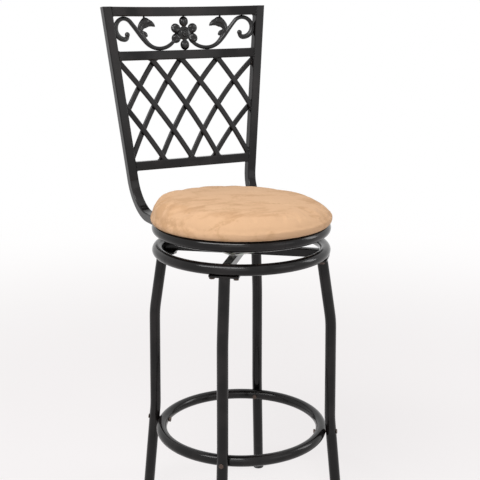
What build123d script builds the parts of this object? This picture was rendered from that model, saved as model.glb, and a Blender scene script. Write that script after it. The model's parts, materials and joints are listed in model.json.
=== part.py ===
from build123d import *
from build123d.topology import SkipClean
import os
from math import asin, atan2, cos, degrees, radians, sin, sqrt, tan

# Metal swivel bar stool: four bent tube legs under a ring base, a foot ring, a ball bearing swivel,
# a round upholstered seat and a reclined back with a lattice and a cast scroll frieze.
# Millimetres, +Z up, the floor at z = 0, the seat faces -Y. A bearing is an angle in degrees about
# the swivel axis, 0 straight ahead and positive towards +X.

# Clearances
WELD_GAP = 0.2
BOLT_CLEARANCE = 0.25
RUNNING_CLEARANCE = 0.3
PIVOT_CLEARANCE = 0.1
FABRIC_CLEARANCE = 0.3

# Round tube of the legs and rings, square tube of the bars and back
LEG_TUBE = 25.4
RING_TUBE = 25.4
TUBE_WALL = 1.5
CROSS_TUBE = 19.0
CROSS_TUBE_CORNER = 2.0
BACK_TUBE = 22.2
BACK_TUBE_CORNER = 2.5

# Base: ring, legs, plates under the ring, foot ring
RING_RADIUS = 193.5
BASE_RING_Z = 674.0
LEG_BEARING = -38.3
LEG_TOP_RADIUS = 188.2
LEG_UPPER_KNEE = (211.4, 510.0)
LEG_LOWER_KNEE = (214.5, 267.0)
LEG_FOOT_RADIUS = 241.0
LEG_BEND_RADIUS = 260.0
LEG_PLATE_THICK = 4.0
LEG_PLATE_WIDTH = 67.0
LEG_PLATE_IN = 40.0
LEG_PLATE_OUT = 9.0
LEG_PLATE_CORNER = 6.0
LEG_BOLT_SPREAD = 53.0
LEG_BOLT_INSET = 32.0
LEG_BOLT = 6.0
LEG_BOLT_HEAD = 11.0
LEG_BOLT_HEAD_HEIGHT = 5.0
LEG_BOLT_LENGTH = 16.0
FOOT_RING_Z = 229.8
FOOT_BOLT = 6.0
FOOT_BOLT_HEAD = 11.0
FOOT_BOLT_HEAD_HEIGHT = 2.0
FOOT_NUT = 10.0
FOOT_NUT_HEIGHT = 3.5
GLIDE_HEIGHT = 7.0
GLIDE_LIP = 0.8
GLIDE_PLUG = 18.0
GLIDE_ROUND = 1.5

# Swivel: two plates, two ball races, a caged row of balls, a pivot pin with washer and nut
SEAT_RING_Z = 725.6
SWIVEL_PLATE = 150.0
SWIVEL_PLATE_THICK = 3.0
SWIVEL_PLATE_CORNER = 12.0
SWIVEL_BOLT = 6.0
SWIVEL_BOLT_HEAD = 10.0
SWIVEL_BOLT_HEAD_HEIGHT = 4.0
SWIVEL_BOLT_GRIP = 9.0
LOWER_BOLT_RADIUS = 88.0
UPPER_BOLT_REACH = 60.0
BALL = 10.0
BALL_COUNT = 16
BALL_ROW_RADIUS = 51.0
RACE_WIDTH = 18.0
RACE_GAP = 6.5
CAGE_WIDTH = 15.0
CAGE_THICK = 2.0
PIVOT = 16.0
PIVOT_FLANGE = 28.0
PIVOT_FLANGE_HEIGHT = 4.0
PIVOT_WASHER = 30.0
PIVOT_WASHER_THICK = 2.0
PIVOT_NUT = 24.0
PIVOT_NUT_HEIGHT = 9.0

# Seat: bars across the ring, plywood board, foam and cover
SEAT_BAR_SPACING = 104.0
SEAT_BAR_WIDTH = 19.0
SEAT_SCREW = 5.0
SEAT_SCREW_HEAD = 9.0
SEAT_SCREW_HEAD_HEIGHT = 3.0
SEAT_SCREW_BITE = 8.0
SEAT_SCREW_REACH = 120.0
CUSHION_OVERHANG = 2.3
CUSHION_ROLL = 11.0
CUSHION_SIDE = 8.0
CUSHION_SHOULDER = 30.0
CUSHION_CROWN_SLOPE = 6.8
COVER_THICK = 1.2
COVER_LIP = 8.0
BOARD_THICK = 12.0

# Back: measured up its slope from where its middle plane meets the seat ring's plane. The middle and
# top rails are bent to one radius, so the back is hollow there and straight at the lower rail.
BACK_RECLINE = 5.12
BACK_STANDOFF = 64.8
BACK_LOW_WIDTH = 352.0
BACK_TOP_WIDTH = 428.5
LOWER_RAIL_UP = 110.0
MIDDLE_RAIL_UP = 375.0
TOP_RAIL_UP = 479.5
RAIL_BEND_RADIUS = 700.0
UPRIGHT_BEND_RADIUS = 85.0

# Lattice: two layers of bowed flat bars. The drifts are the hand-set shifts of the joints: along a rail
# from its quarter points, and up an upright from its middle and corner (left) and corner and middle (right).
LATTICE_BAR_WIDTH = 13.0
LATTICE_BAR_THICK = 7.0
LATTICE_BAR_ROUND = 2.5
LATTICE_LAYER_GAP = 1.0
LATTICE_STATIONS = 8
FALL_BOW_RADIUS = 1300.0
FALL_TOP_DRIFT = (1.6, -7.5, -1.0)
FALL_LOW_DRIFT = (0.8, -1.6, -7.5)
FALL_SIDE_DRIFT = (8.0, -5.0, 0.0, 0.0)
RISE_BOW_RADIUS = 950.0
RISE_TOP_DRIFT = (9.9, -8.6, 0.9)
RISE_LOW_DRIFT = (-5.3, -1.1, -13.5)
RISE_SIDE_DRIFT = (-5.0, 12.0, -8.0, 0.0)

# Scroll frieze between the top and middle rails
FRIEZE_THICK = 10.0
SCROLL_WIDTH = 10.0
SCROLL_TAIL = (55.0, 45.0)
SCROLL_DIP_RADIUS = 48.0
SCROLL_RISE = 49.0
SCROLL_LOOP_RADIUS = 25.0
SCROLL_CURL_RADIUS = 24.0
SCROLL_TIP_RADIUS = 9.0
SCROLL_BUD = 14.0
SCROLL_MIDDLE = 97.0
SCROLL_SEAT = 2.5
LEAF_OUTLINE = (
    ((-14, 35), (-49, 17)),
    ((-39, 12), (-28, 13)),
    ((-23, 9), (-24, 2)),
    ((-30, -2), (-34, -12)),
    ((-26, -9), (-14, -12)),
)
LEAF_ROOT = (8.0, 13.0)
LUG_WIDTH = 5.0
LEAF_LUG_BACK = 17.0
FLOWER_DRIFT = 5.5
PETAL_RADIUS = 12.5
PETAL_REACH = 28.5
PETAL_SIDE = (22.5, 12.0)
FLOWER_CORE_RADIUS = 18.0
FLOWER_BUTTON_RADIUS = 9.0
FLOWER_BUTTON_HEIGHT = 4.0

# Heights that follow from the sizes above
RING_BOTTOM = BASE_RING_Z - RING_TUBE / 2
LEG_TOP_Z = RING_BOTTOM - LEG_PLATE_THICK
CROSS_TOP = RING_BOTTOM + CROSS_TUBE
SEAT_FRAME_BOTTOM = SEAT_RING_Z - RING_TUBE / 2
SEAT_FRAME_TOP = SEAT_RING_Z + RING_TUBE / 2
LOWER_PLATE_TOP = CROSS_TOP + SWIVEL_PLATE_THICK
UPPER_PLATE_BOTTOM = SEAT_FRAME_BOTTOM - SWIVEL_PLATE_THICK
BALL_ROW_Z = (LOWER_PLATE_TOP + UPPER_PLATE_BOTTOM) / 2
BOARD_TOP = SEAT_FRAME_TOP + BOARD_THICK

CUSHION_RADIUS = RING_RADIUS + RING_TUBE / 2 + CUSHION_OVERHANG
BACK_SETBACK = RING_RADIUS + BACK_STANDOFF
BACK_TOP = TOP_RAIL_UP + BACK_TUBE / 2
RECLINE_SIN = sin(radians(BACK_RECLINE))
RECLINE_COS = cos(radians(BACK_RECLINE))
TAPER = (BACK_TOP_WIDTH - BACK_LOW_WIDTH) / 2 / (TOP_RAIL_UP - LOWER_RAIL_UP)
TAPER_COS = 1 / sqrt(1 + TAPER**2)


def outer_half(up):
    """Half the back's outer width some way up its slope."""
    return BACK_LOW_WIDTH / 2 + TAPER * (up - LOWER_RAIL_UP)


def inner_half(up):
    return outer_half(up) - BACK_TUBE / TAPER_COS


def bend_centre(up):
    """How far ahead of the back's middle plane a rail's bend has its centre."""
    return sqrt(RAIL_BEND_RADIUS**2 - inner_half(up) ** 2)


def rail_bow(up):
    """How far a bent rail's middle lies behind its ends."""
    return RAIL_BEND_RADIUS - bend_centre(up)


# The box round the whole stool is centred on the origin, so the swivel axis stands ahead of it
BACK_DEPTH = BACK_TUBE + rail_bow(TOP_RAIL_UP)
BACK_REACH = (
    BACK_SETBACK
    + (BACK_TOP - BACK_TUBE_CORNER) * RECLINE_SIN
    + (BACK_DEPTH - BACK_TUBE / 2 - BACK_TUBE_CORNER) * RECLINE_COS
    + BACK_TUBE_CORNER
)
AXIS_Y = (CUSHION_RADIUS - BACK_REACH) / 2

LEGS = {
    "front_left": LEG_BEARING,
    "front_right": LEG_BEARING + 90,
    "rear_right": LEG_BEARING + 180,
    "rear_left": LEG_BEARING - 90,
}
SPAN = 4 * LEG_FOOT_RADIUS


def spoke(bearing):
    """Level unit vector from the swivel axis out along a bearing."""
    return Vector(sin(radians(bearing)), -cos(radians(bearing)), 0)


def on_axis(z):
    return Vector(0, AXIS_Y, z)


def radial_plane(bearing):
    """Upright plane through the swivel axis: X out along the bearing, Y up from the floor."""
    out = spoke(bearing)
    return Plane(origin=on_axis(0), x_dir=out, z_dir=out.cross(Vector(0, 0, 1)))


def level_plane(bearing, reach, z):
    """Level plane some way out along a bearing: X outwards, Z up."""
    out = spoke(bearing)
    return Plane(origin=on_axis(z) + out * reach, x_dir=out, z_dir=(0, 0, 1))


def slab(low, high):
    """Everything between two heights."""
    return Pos(0, 0, (low + high) / 2) * Box(SPAN, SPAN, high - low)


def rod(plane, diameter, length, start=0.0):
    """Round bar along a plane's normal, from one distance along it for a length."""
    return extrude(plane.offset(start) * Circle(diameter / 2), amount=length)


def square_tube(length, width, height, corner):
    """Hollow rectangular tube along X, open at both ends, about its own centre."""
    outer = RectangleRounded(width, height, corner)
    inner = Rectangle(width - 2 * TUBE_WALL, height - 2 * TUBE_WALL)
    return extrude(Plane.YZ * (outer - inner), amount=length / 2, both=True)


def hex_bolt(seat, across, head_height, diameter, length):
    """Hex head behind the seat plane and a shank along its normal."""
    head = extrude(seat * RegularPolygon(across / 2, 6, major_radius=False), amount=-head_height)
    return head + rod(seat, diameter, length)


def hole(seat, diameter, length):
    """Clearance hole for a bolt, through what its shank passes."""
    return rod(seat, diameter + 2 * BOLT_CLEARANCE, length)


# Legs and foot ring

FOOT_LEAN = atan2(LEG_FOOT_RADIUS - LEG_LOWER_KNEE[0], LEG_LOWER_KNEE[1])
FOOT_BOLT_AXIS = Vector(cos(FOOT_LEAN), sin(FOOT_LEAN))
FOOT_RING_STANDOFF = (LEG_TUBE + RING_TUBE) / 2 + WELD_GAP
FOOT_CONTACT_Z = FOOT_RING_Z + FOOT_RING_STANDOFF * sin(FOOT_LEAN)
FOOT_RING_RADIUS = LEG_FOOT_RADIUS - FOOT_CONTACT_Z * tan(FOOT_LEAN) - FOOT_RING_STANDOFF * cos(FOOT_LEAN)


def leg_tube(bearing, diameter):
    """Bent round bar down a leg's line, from above the plate under the base ring to below the floor."""
    top = Vector(LEG_TOP_RADIUS, LEG_TOP_Z)
    knee = Vector(*LEG_UPPER_KNEE)
    past_top = top + (top - knee).normalized() * LEG_TUBE
    lower_knee = Vector(*LEG_LOWER_KNEE)
    foot = Vector(LEG_FOOT_RADIUS, 0)
    past_foot = foot + (foot - lower_knee).normalized() * LEG_TUBE
    bend = FilletPolyline(past_top, knee, lower_knee, past_foot, radius=LEG_BEND_RADIUS)
    path = radial_plane(bearing) * bend
    return sweep(Plane(origin=path @ 0, z_dir=path % 0) * Circle(diameter / 2), path=path)


def foot_bolt_seat(bearing):
    """Plane on the leg's outer side, square to the leg, facing in through the leg and foot ring."""
    at = Vector(FOOT_RING_RADIUS, FOOT_RING_Z) + FOOT_BOLT_AXIS * (FOOT_RING_STANDOFF + LEG_TUBE / 2)
    frame = radial_plane(bearing)
    inward = frame.from_local_coords(-FOOT_BOLT_AXIS) - frame.origin
    return Plane(origin=frame.from_local_coords(at), z_dir=inward)


FOOT_BOLT_THROUGH = LEG_TUBE + RING_TUBE + 2 * WELD_GAP


def leg(bearing):
    """Hollow leg, cut level under its plate and above its glide's lip."""
    tube = leg_tube(bearing, LEG_TUBE) - leg_tube(bearing, LEG_TUBE - 2 * TUBE_WALL)
    tube &= slab(GLIDE_HEIGHT, LEG_TOP_Z)
    return tube - hole(foot_bolt_seat(bearing), FOOT_BOLT, LEG_TUBE)


def glide(bearing):
    """Plastic foot: a lip under the tube's end and a plug inside it."""
    lip = leg_tube(bearing, LEG_TUBE + 2 * GLIDE_LIP) & slab(0, GLIDE_HEIGHT)
    lip = fillet(lip.edges().group_by(Axis.Z)[0], GLIDE_ROUND)
    plug = leg_tube(bearing, LEG_TUBE - 2 * TUBE_WALL - 2 * WELD_GAP)
    return lip + (plug & slab(GLIDE_HEIGHT, GLIDE_HEIGHT + GLIDE_PLUG))


def ring_tube(radius, z, turn, start):
    """Round tube bent about the swivel axis for part of a turn."""
    section = Circle(RING_TUBE / 2) - Circle(RING_TUBE / 2 - TUBE_WALL)
    bent = revolve(Plane.XZ * Pos(radius, 0) * section, Axis.Z, turn)
    return Pos(0, AXIS_Y, z) * Rot(0, 0, start) * bent


def quartered_ring(radius, z):
    """Ring of four quarter bends, a weld gap apart."""
    gap = degrees(WELD_GAP / (radius - RING_TUBE / 2))
    return [ring_tube(radius, z, 90 - gap, start) for start in (0, 90, 180, 270)]


def drilled_ring(radius, z, drills):
    """Ring of four quarters end to end, each drilled at the leg in its middle."""
    quarters = []
    for bearing in LEGS.values():
        quarter = ring_tube(radius, z, 90, bearing - 135)
        for drill in drills(bearing):
            quarter -= drill
        quarters.append(quarter)
    with SkipClean():
        return quarters[0] + quarters[1] + quarters[2] + quarters[3]


def foot_drills(bearing):
    return [hole(foot_bolt_seat(bearing), FOOT_BOLT, FOOT_BOLT_THROUGH + FOOT_NUT_HEIGHT)]


def foot_bolt(bearing):
    """Round-headed bolt through the leg and the foot ring."""
    seat = foot_bolt_seat(bearing)
    head = rod(seat, FOOT_BOLT_HEAD, -FOOT_BOLT_HEAD_HEIGHT)
    rim = head.edges().sort_by_distance(seat.origin)[-1]
    head = fillet(rim, FOOT_BOLT_HEAD_HEIGHT / 2)
    return head + rod(seat, FOOT_BOLT, FOOT_BOLT_THROUGH + FOOT_NUT_HEIGHT / 2)


def foot_nut(bearing):
    """Nut on the foot ring's inner side, closed over the bolt's end."""
    seat = foot_bolt_seat(bearing).offset(FOOT_BOLT_THROUGH)
    body = extrude(seat * RegularPolygon(FOOT_NUT / 2, 6, major_radius=False), amount=FOOT_NUT_HEIGHT)
    return body - hole(seat, FOOT_BOLT, FOOT_NUT_HEIGHT / 2 + BOLT_CLEARANCE)


# Base ring, cross bars and leg plates

def leg_bolt_seats(bearing):
    """Planes under a leg plate: two below the ring's centre line, one below the cross bar."""
    half_angle = degrees(asin(LEG_BOLT_SPREAD / 2 / RING_RADIUS))
    return [
        level_plane(bearing - half_angle, RING_RADIUS, LEG_TOP_Z),
        level_plane(bearing + half_angle, RING_RADIUS, LEG_TOP_Z),
        level_plane(bearing, RING_RADIUS - LEG_BOLT_INSET, LEG_TOP_Z),
    ]


def leg_plate(bearing):
    length = LEG_PLATE_IN + LEG_PLATE_OUT
    middle = RING_RADIUS + (LEG_PLATE_OUT - LEG_PLATE_IN) / 2
    outline = RectangleRounded(length, LEG_PLATE_WIDTH, LEG_PLATE_CORNER)
    plate = extrude(level_plane(bearing, middle, LEG_TOP_Z) * outline, amount=LEG_PLATE_THICK)
    for seat in leg_bolt_seats(bearing):
        plate -= hole(seat, LEG_BOLT, LEG_PLATE_THICK)
    return plate


def leg_bolts():
    seats = [seat for bearing in LEGS.values() for seat in leg_bolt_seats(bearing)]
    return [hex_bolt(seat, LEG_BOLT_HEAD, LEG_BOLT_HEAD_HEIGHT, LEG_BOLT, LEG_BOLT_LENGTH) for seat in seats]


def base_drills(bearing):
    return [hole(seat, LEG_BOLT, LEG_BOLT_LENGTH) for seat in leg_bolt_seats(bearing)[:2]]


def chord_half(offset):
    """Half the clear length across a ring, for a bar whose far side lies at an offset from the middle."""
    return sqrt((RING_RADIUS - RING_TUBE / 2 - WELD_GAP) ** 2 - offset**2)


def cross_bar(bearing, near):
    """Square tube along a bearing, from a distance past the axis out to the base ring."""
    far = chord_half(CROSS_TUBE / 2)
    tube = square_tube(far - near, CROSS_TUBE, CROSS_TUBE, CROSS_TUBE_CORNER)
    bar = level_plane(bearing, (far + near) / 2, CROSS_TOP - CROSS_TUBE / 2) * tube
    wall = TUBE_WALL + 2 * BOLT_CLEARANCE
    for end in (bearing, bearing + 180):
        bar -= hole(leg_bolt_seats(end)[2], LEG_BOLT, LEG_BOLT_LENGTH)
        bar -= hole(lower_plate_seat(end).offset(SWIVEL_PLATE_THICK), SWIVEL_BOLT, wall)
    return bar


# Swivel

def swivel_plate(bearing, bottom):
    outline = RectangleRounded(SWIVEL_PLATE, SWIVEL_PLATE, SWIVEL_PLATE_CORNER)
    return extrude(level_plane(bearing, 0, bottom) * outline, amount=SWIVEL_PLATE_THICK)


def lower_plate_seat(bearing):
    """Plane on top of the lower plate, facing down into the cross bar on a bearing."""
    seat = level_plane(bearing, LOWER_BOLT_RADIUS, LOWER_PLATE_TOP)
    return Plane(origin=seat.origin, x_dir=seat.x_dir, z_dir=(0, 0, -1))


def swivel_lower_plate():
    plate = swivel_plate(LEG_BEARING + 45, CROSS_TOP)
    plate -= hole(Plane(on_axis(CROSS_TOP)), PIVOT, SWIVEL_PLATE_THICK)
    for bearing in LEGS.values():
        plate -= hole(lower_plate_seat(bearing), SWIVEL_BOLT, SWIVEL_PLATE_THICK)
    return plate


def swivel_bolts(seats):
    return [
        hex_bolt(seat, SWIVEL_BOLT_HEAD, SWIVEL_BOLT_HEAD_HEIGHT, SWIVEL_BOLT, SWIVEL_BOLT_GRIP)
        for seat in seats
    ]


def upper_plate_seats():
    half = SEAT_BAR_SPACING / 2
    return [
        Plane(origin=(x, AXIS_Y + y, UPPER_PLATE_BOTTOM))
        for x in (-half, half)
        for y in (-UPPER_BOLT_REACH, UPPER_BOLT_REACH)
    ]


def swivel_upper_plate():
    plate = swivel_plate(0, UPPER_PLATE_BOTTOM)
    plate -= rod(Plane(on_axis(UPPER_PLATE_BOTTOM)), PIVOT + 2 * PIVOT_CLEARANCE, SWIVEL_PLATE_THICK)
    for seat in upper_plate_seats():
        plate -= hole(seat, SWIVEL_BOLT, SWIVEL_PLATE_THICK)
    return plate


def ball_race(low, high):
    """Flat ring with a groove that the balls run in."""
    ring = Circle(BALL_ROW_RADIUS + RACE_WIDTH / 2) - Circle(BALL_ROW_RADIUS - RACE_WIDTH / 2)
    race = extrude(Plane(on_axis(low)) * ring, amount=high - low)
    return race - Pos(*on_axis(BALL_ROW_Z)) * Torus(BALL_ROW_RADIUS, BALL / 2 + RUNNING_CLEARANCE)


def ball_places():
    return [level_plane(360 / BALL_COUNT * i, BALL_ROW_RADIUS, BALL_ROW_Z) for i in range(BALL_COUNT)]


def bearing_balls():
    return [place * Sphere(BALL / 2) for place in ball_places()]


def bearing_cage():
    ring = Circle(BALL_ROW_RADIUS + CAGE_WIDTH / 2) - Circle(BALL_ROW_RADIUS - CAGE_WIDTH / 2)
    cage = extrude(Plane(on_axis(BALL_ROW_Z - CAGE_THICK / 2)) * ring, amount=CAGE_THICK)
    for place in ball_places():
        cage -= rod(place, BALL + 2 * RUNNING_CLEARANCE, CAGE_THICK, -CAGE_THICK / 2)
    return cage


WASHER_BOTTOM = SEAT_FRAME_BOTTOM + RUNNING_CLEARANCE
NUT_BOTTOM = WASHER_BOTTOM + PIVOT_WASHER_THICK


def pivot_pin():
    """Shouldered pin: a spigot in the lower plate, a flange on it and a stem up through the upper plate."""
    stem = rod(Plane(on_axis(CROSS_TOP)), PIVOT, NUT_BOTTOM + PIVOT_NUT_HEIGHT - CROSS_TOP)
    return stem + rod(Plane(on_axis(LOWER_PLATE_TOP)), PIVOT_FLANGE, PIVOT_FLANGE_HEIGHT)


def pivot_washer():
    washer = Circle(PIVOT_WASHER / 2) - Circle(PIVOT / 2 + BOLT_CLEARANCE)
    return extrude(Plane(on_axis(WASHER_BOTTOM)) * washer, amount=PIVOT_WASHER_THICK)


def pivot_nut():
    nut = RegularPolygon(PIVOT_NUT / 2, 6, major_radius=False) - Circle(PIVOT / 2 + BOLT_CLEARANCE)
    return extrude(Plane(on_axis(NUT_BOTTOM)) * nut, amount=PIVOT_NUT_HEIGHT)


# Seat

def seat_screw_seats(side):
    x = side * SEAT_BAR_SPACING / 2
    return [Plane(origin=(x, AXIS_Y + y, SEAT_FRAME_BOTTOM)) for y in (-SEAT_SCREW_REACH, SEAT_SCREW_REACH)]


def seat_bar(side):
    """Tube across the seat ring from front to back, as tall as the ring."""
    length = 2 * chord_half((SEAT_BAR_SPACING + SEAT_BAR_WIDTH) / 2)
    tube = square_tube(length, SEAT_BAR_WIDTH, RING_TUBE, CROSS_TUBE_CORNER)
    bar = Pos(side * SEAT_BAR_SPACING / 2, AXIS_Y, SEAT_RING_Z) * Rot(0, 0, 90) * tube
    for seat in seat_screw_seats(side):
        bar -= hole(seat, SEAT_SCREW, RING_TUBE)
    for seat in upper_plate_seats():
        bar -= hole(seat, SWIVEL_BOLT, SWIVEL_BOLT_GRIP)
    return bar


def seat_screws():
    seats = seat_screw_seats(-1) + seat_screw_seats(1)
    length = RING_TUBE + SEAT_SCREW_BITE
    return [hex_bolt(seat, SEAT_SCREW_HEAD, SEAT_SCREW_HEAD_HEIGHT, SEAT_SCREW, length) for seat in seats]


def cushion_form(inset):
    """Round cushion turned about the swivel axis: rolled lower edge, upright side, shoulder and crown."""
    bottom = SEAT_FRAME_TOP - COVER_THICK - FABRIC_CLEARANCE + inset
    roll_z = SEAT_FRAME_TOP - COVER_THICK - FABRIC_CLEARANCE + CUSHION_ROLL
    shoulder_z = roll_z + CUSHION_SIDE
    side = CUSHION_RADIUS - inset
    roll_in = CUSHION_RADIUS - CUSHION_ROLL
    shoulder_in = CUSHION_RADIUS - CUSHION_SHOULDER
    slope = radians(CUSHION_CROWN_SLOPE)
    crown_radius = shoulder_in / sin(slope) + CUSHION_SHOULDER - inset
    crown_z = shoulder_z - shoulder_in / tan(slope) + crown_radius
    shoulder = CUSHION_SHOULDER - inset
    roll = CUSHION_ROLL - inset
    meet = (shoulder_in + shoulder * sin(slope), shoulder_z + shoulder * cos(slope))
    half_way = radians(45)
    shoulder_mid = (shoulder_in + shoulder * cos(half_way), shoulder_z + shoulder * sin(half_way))
    roll_mid = (roll_in + roll * cos(half_way), roll_z - roll * sin(half_way))
    outline = Wire(
        [
            Line((0, crown_z), (0, bottom)).edge(),
            Line((0, bottom), (roll_in, bottom)).edge(),
            ThreePointArc((roll_in, bottom), roll_mid, (side, roll_z)).edge(),
            Line((side, roll_z), (side, shoulder_z)).edge(),
            ThreePointArc((side, shoulder_z), shoulder_mid, meet).edge(),
            RadiusArc(meet, (0, crown_z), -crown_radius).edge(),
        ]
    )
    return Pos(0, AXIS_Y, 0) * revolve(Plane.XZ * Face(outline), Axis.Z)


def seat_cover():
    """Fabric shell, open underneath inside its turned-in lip."""
    cover = cushion_form(0) - cushion_form(COVER_THICK)
    return cover - rod(Plane(on_axis(0)), 2 * (CUSHION_RADIUS - COVER_LIP), BOARD_TOP - COVER_THICK)


def seat_board():
    board = cushion_form(COVER_THICK + FABRIC_CLEARANCE) & slab(SEAT_FRAME_TOP, BOARD_TOP)
    for seat in seat_screw_seats(-1) + seat_screw_seats(1):
        board -= hole(seat, SEAT_SCREW, RING_TUBE + SEAT_SCREW_BITE + BOLT_CLEARANCE)
    return board


def seat_foam():
    crown = cushion_form(COVER_THICK + FABRIC_CLEARANCE)
    return crown & slab(BOARD_TOP, BOARD_TOP + CUSHION_RADIUS)


# Back frame

BACK_PLANE = Plane(
    origin=on_axis(SEAT_RING_Z) + Vector(0, BACK_SETBACK, 0),
    x_dir=(1, 0, 0),
    z_dir=(0, -RECLINE_COS, RECLINE_SIN),
)


def panel_solid(low, high):
    """The room between the uprights' inner faces, from one height up the slope to another."""
    bottom, top = inner_half(low), inner_half(high)
    outline = make_face(Polyline((-bottom, low), (bottom, low), (top, high), (-top, high), close=True))
    return extrude(BACK_PLANE * outline, amount=BACK_DEPTH, both=True)


def upright_bar(side, size, corner, top):
    """Square bar down the back's edge, round a bend and level forward to the seat ring."""
    middle = outer_half(0) - BACK_TUBE / 2 / TAPER_COS
    lean = Vector(side * TAPER, 1).normalized()
    corner_point = BACK_PLANE.from_local_coords(Vector(side * middle, 0))
    up = BACK_PLANE.from_local_coords(lean) - BACK_PLANE.origin
    frame = Plane(origin=corner_point, x_dir=BACK_PLANE.z_dir, z_dir=BACK_PLANE.z_dir.cross(up))
    run = BACK_SETBACK - sqrt(RING_RADIUS**2 - middle**2)
    ends = [(0, top / lean.Y), (0, 0), (run * RECLINE_COS, -run * RECLINE_SIN)]
    path = frame * FilletPolyline(*ends, radius=UPRIGHT_BEND_RADIUS)
    section = Plane(origin=path @ 0, x_dir=frame.z_dir, z_dir=path % 0)
    outline = RectangleRounded(size, size, corner) if corner else Rectangle(size, size)
    return sweep(section * outline, path=path)


def back_upright(side):
    """Hollow upright, closed at the top and cut to sit against the outside of the seat ring."""
    tube = upright_bar(side, BACK_TUBE, BACK_TUBE_CORNER, BACK_TOP + BACK_TUBE)
    tube -= upright_bar(side, BACK_TUBE - 2 * TUBE_WALL, 0, BACK_TOP - TUBE_WALL)
    above = BACK_PLANE * Pos(0, BACK_TOP + BACK_TUBE * 2, 0) * Box(SPAN, BACK_TUBE * 4, SPAN)
    ring = Torus(RING_RADIUS, RING_TUBE / 2 + WELD_GAP) + Cylinder(RING_RADIUS, RING_TUBE)
    return tube - above - Pos(0, AXIS_Y, SEAT_RING_Z) * ring


def between_uprights(tube, up):
    """A rail's tube in its place up the slope, its ends cut to the uprights."""
    return (BACK_PLANE * Pos(0, up, 0) * tube) & panel_solid(up - 2 * BACK_TUBE, up + 2 * BACK_TUBE)


def straight_rail(up):
    return between_uprights(square_tube(2 * outer_half(up), BACK_TUBE, BACK_TUBE, BACK_TUBE_CORNER), up)


def bent_rail(up):
    """Square tube bent backwards between the uprights."""
    outer = RectangleRounded(BACK_TUBE, BACK_TUBE, BACK_TUBE_CORNER)
    inner = Rectangle(BACK_TUBE - 2 * TUBE_WALL, BACK_TUBE - 2 * TUBE_WALL)
    half_turn = degrees(asin(outer_half(up) / RAIL_BEND_RADIUS))
    section = Plane.YZ * Pos(0, -RAIL_BEND_RADIUS) * (outer - inner)
    tube = Rot(0, -half_turn, 0) * revolve(section, Axis.Y, 2 * half_turn)
    return between_uprights(Pos(0, 0, bend_centre(up)) * tube, up)


# Lattice

LATTICE_LOW = LOWER_RAIL_UP + BACK_TUBE / 2
LATTICE_HIGH = MIDDLE_RAIL_UP - BACK_TUBE / 2
LATTICE_MIDDLE = (LATTICE_LOW + LATTICE_HIGH) / 2


def rail_joints(up, drifts):
    """Points near a rail's quarter points where bars meet it."""
    half = inner_half(up)
    return [Vector(half * share + drift, up) for share, drift in zip((-0.5, 0, 0.5), drifts)]


def upright_joint(side, up):
    return Vector(side * inner_half(up), up)


def bar_ends(start_up, end_up, start_drifts, end_drifts, side_drifts):
    """Ends of a layer's five bars from left to right, each bar from one rail or upright to another."""
    left_middle, left_corner, right_corner, right_middle = side_drifts
    starts = [
        upright_joint(-1, LATTICE_MIDDLE + left_middle),
        upright_joint(-1, start_up + left_corner),
        *rail_joints(start_up, start_drifts),
    ]
    ends = [
        *rail_joints(end_up, end_drifts),
        upright_joint(1, end_up + right_corner),
        upright_joint(1, LATTICE_MIDDLE + right_middle),
    ]
    return list(zip(starts, ends))


def hollow(x, up):
    """Depth of the back's hollow: none at the uprights and lower rail, the middle rail's bow at that rail."""
    share = (up - LOWER_RAIL_UP) / (MIDDLE_RAIL_UP - LOWER_RAIL_UP)
    return share * (sqrt(RAIL_BEND_RADIUS**2 - x**2) - bend_centre(up))


def lattice_bar(start, end, layer, bow_radius):
    """Flat bar bowed upwards between two points of the lattice, in the front (1) or rear (-1) layer."""
    along = (end - start).normalized()
    bow = Vector(-along.Y, along.X)
    half_turn = asin((end - start).length / 2 / bow_radius)
    centre = (start + end) / 2 - bow * bow_radius * cos(half_turn)
    half_turn += BACK_TUBE / bow_radius
    shift = layer * (LATTICE_BAR_THICK + LATTICE_LAYER_GAP) / 2
    spots = []
    for station in range(LATTICE_STATIONS + 1):
        turn = half_turn * (2 * station / LATTICE_STATIONS - 1)
        at = centre + (bow * cos(turn) + along * sin(turn)) * bow_radius
        spots.append(BACK_PLANE.from_local_coords(Vector(at.X, at.Y, shift - hollow(at.X, at.Y))))
    path = Spline(*spots)
    section = Plane(origin=path @ 0, x_dir=BACK_PLANE.z_dir, z_dir=path % 0)
    outline = RectangleRounded(LATTICE_BAR_THICK, LATTICE_BAR_WIDTH, LATTICE_BAR_ROUND)
    bar = sweep(section * outline, path=path)
    return bar & panel_solid(LATTICE_LOW, LATTICE_HIGH)


def lattice_bars():
    """Five bars that fall to the right in front, five that rise to the right behind them."""
    falling = bar_ends(LATTICE_HIGH, LATTICE_LOW, FALL_TOP_DRIFT, FALL_LOW_DRIFT, FALL_SIDE_DRIFT)
    rising = bar_ends(LATTICE_LOW, LATTICE_HIGH, RISE_LOW_DRIFT, RISE_TOP_DRIFT, RISE_SIDE_DRIFT)
    bars = {}
    for i, ends in enumerate(falling, 1):
        bars[f"lattice_falling_bar_{i}"] = lattice_bar(*ends, 1, FALL_BOW_RADIUS)
    for i, ends in enumerate(rising, 1):
        bars[f"lattice_rising_bar_{i}"] = lattice_bar(*ends, -1, RISE_BOW_RADIUS)
    return bars


# Scroll frieze: drawn from the middle rail's top edge, outwards from the centre line

FRIEZE_LOW = MIDDLE_RAIL_UP + BACK_TUBE / 2
FRIEZE_HIGH = TOP_RAIL_UP - BACK_TUBE / 2
FRIEZE_HEIGHT = FRIEZE_HIGH - FRIEZE_LOW
FRIEZE_MIDDLE = (FRIEZE_LOW + FRIEZE_HIGH) / 2


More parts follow.
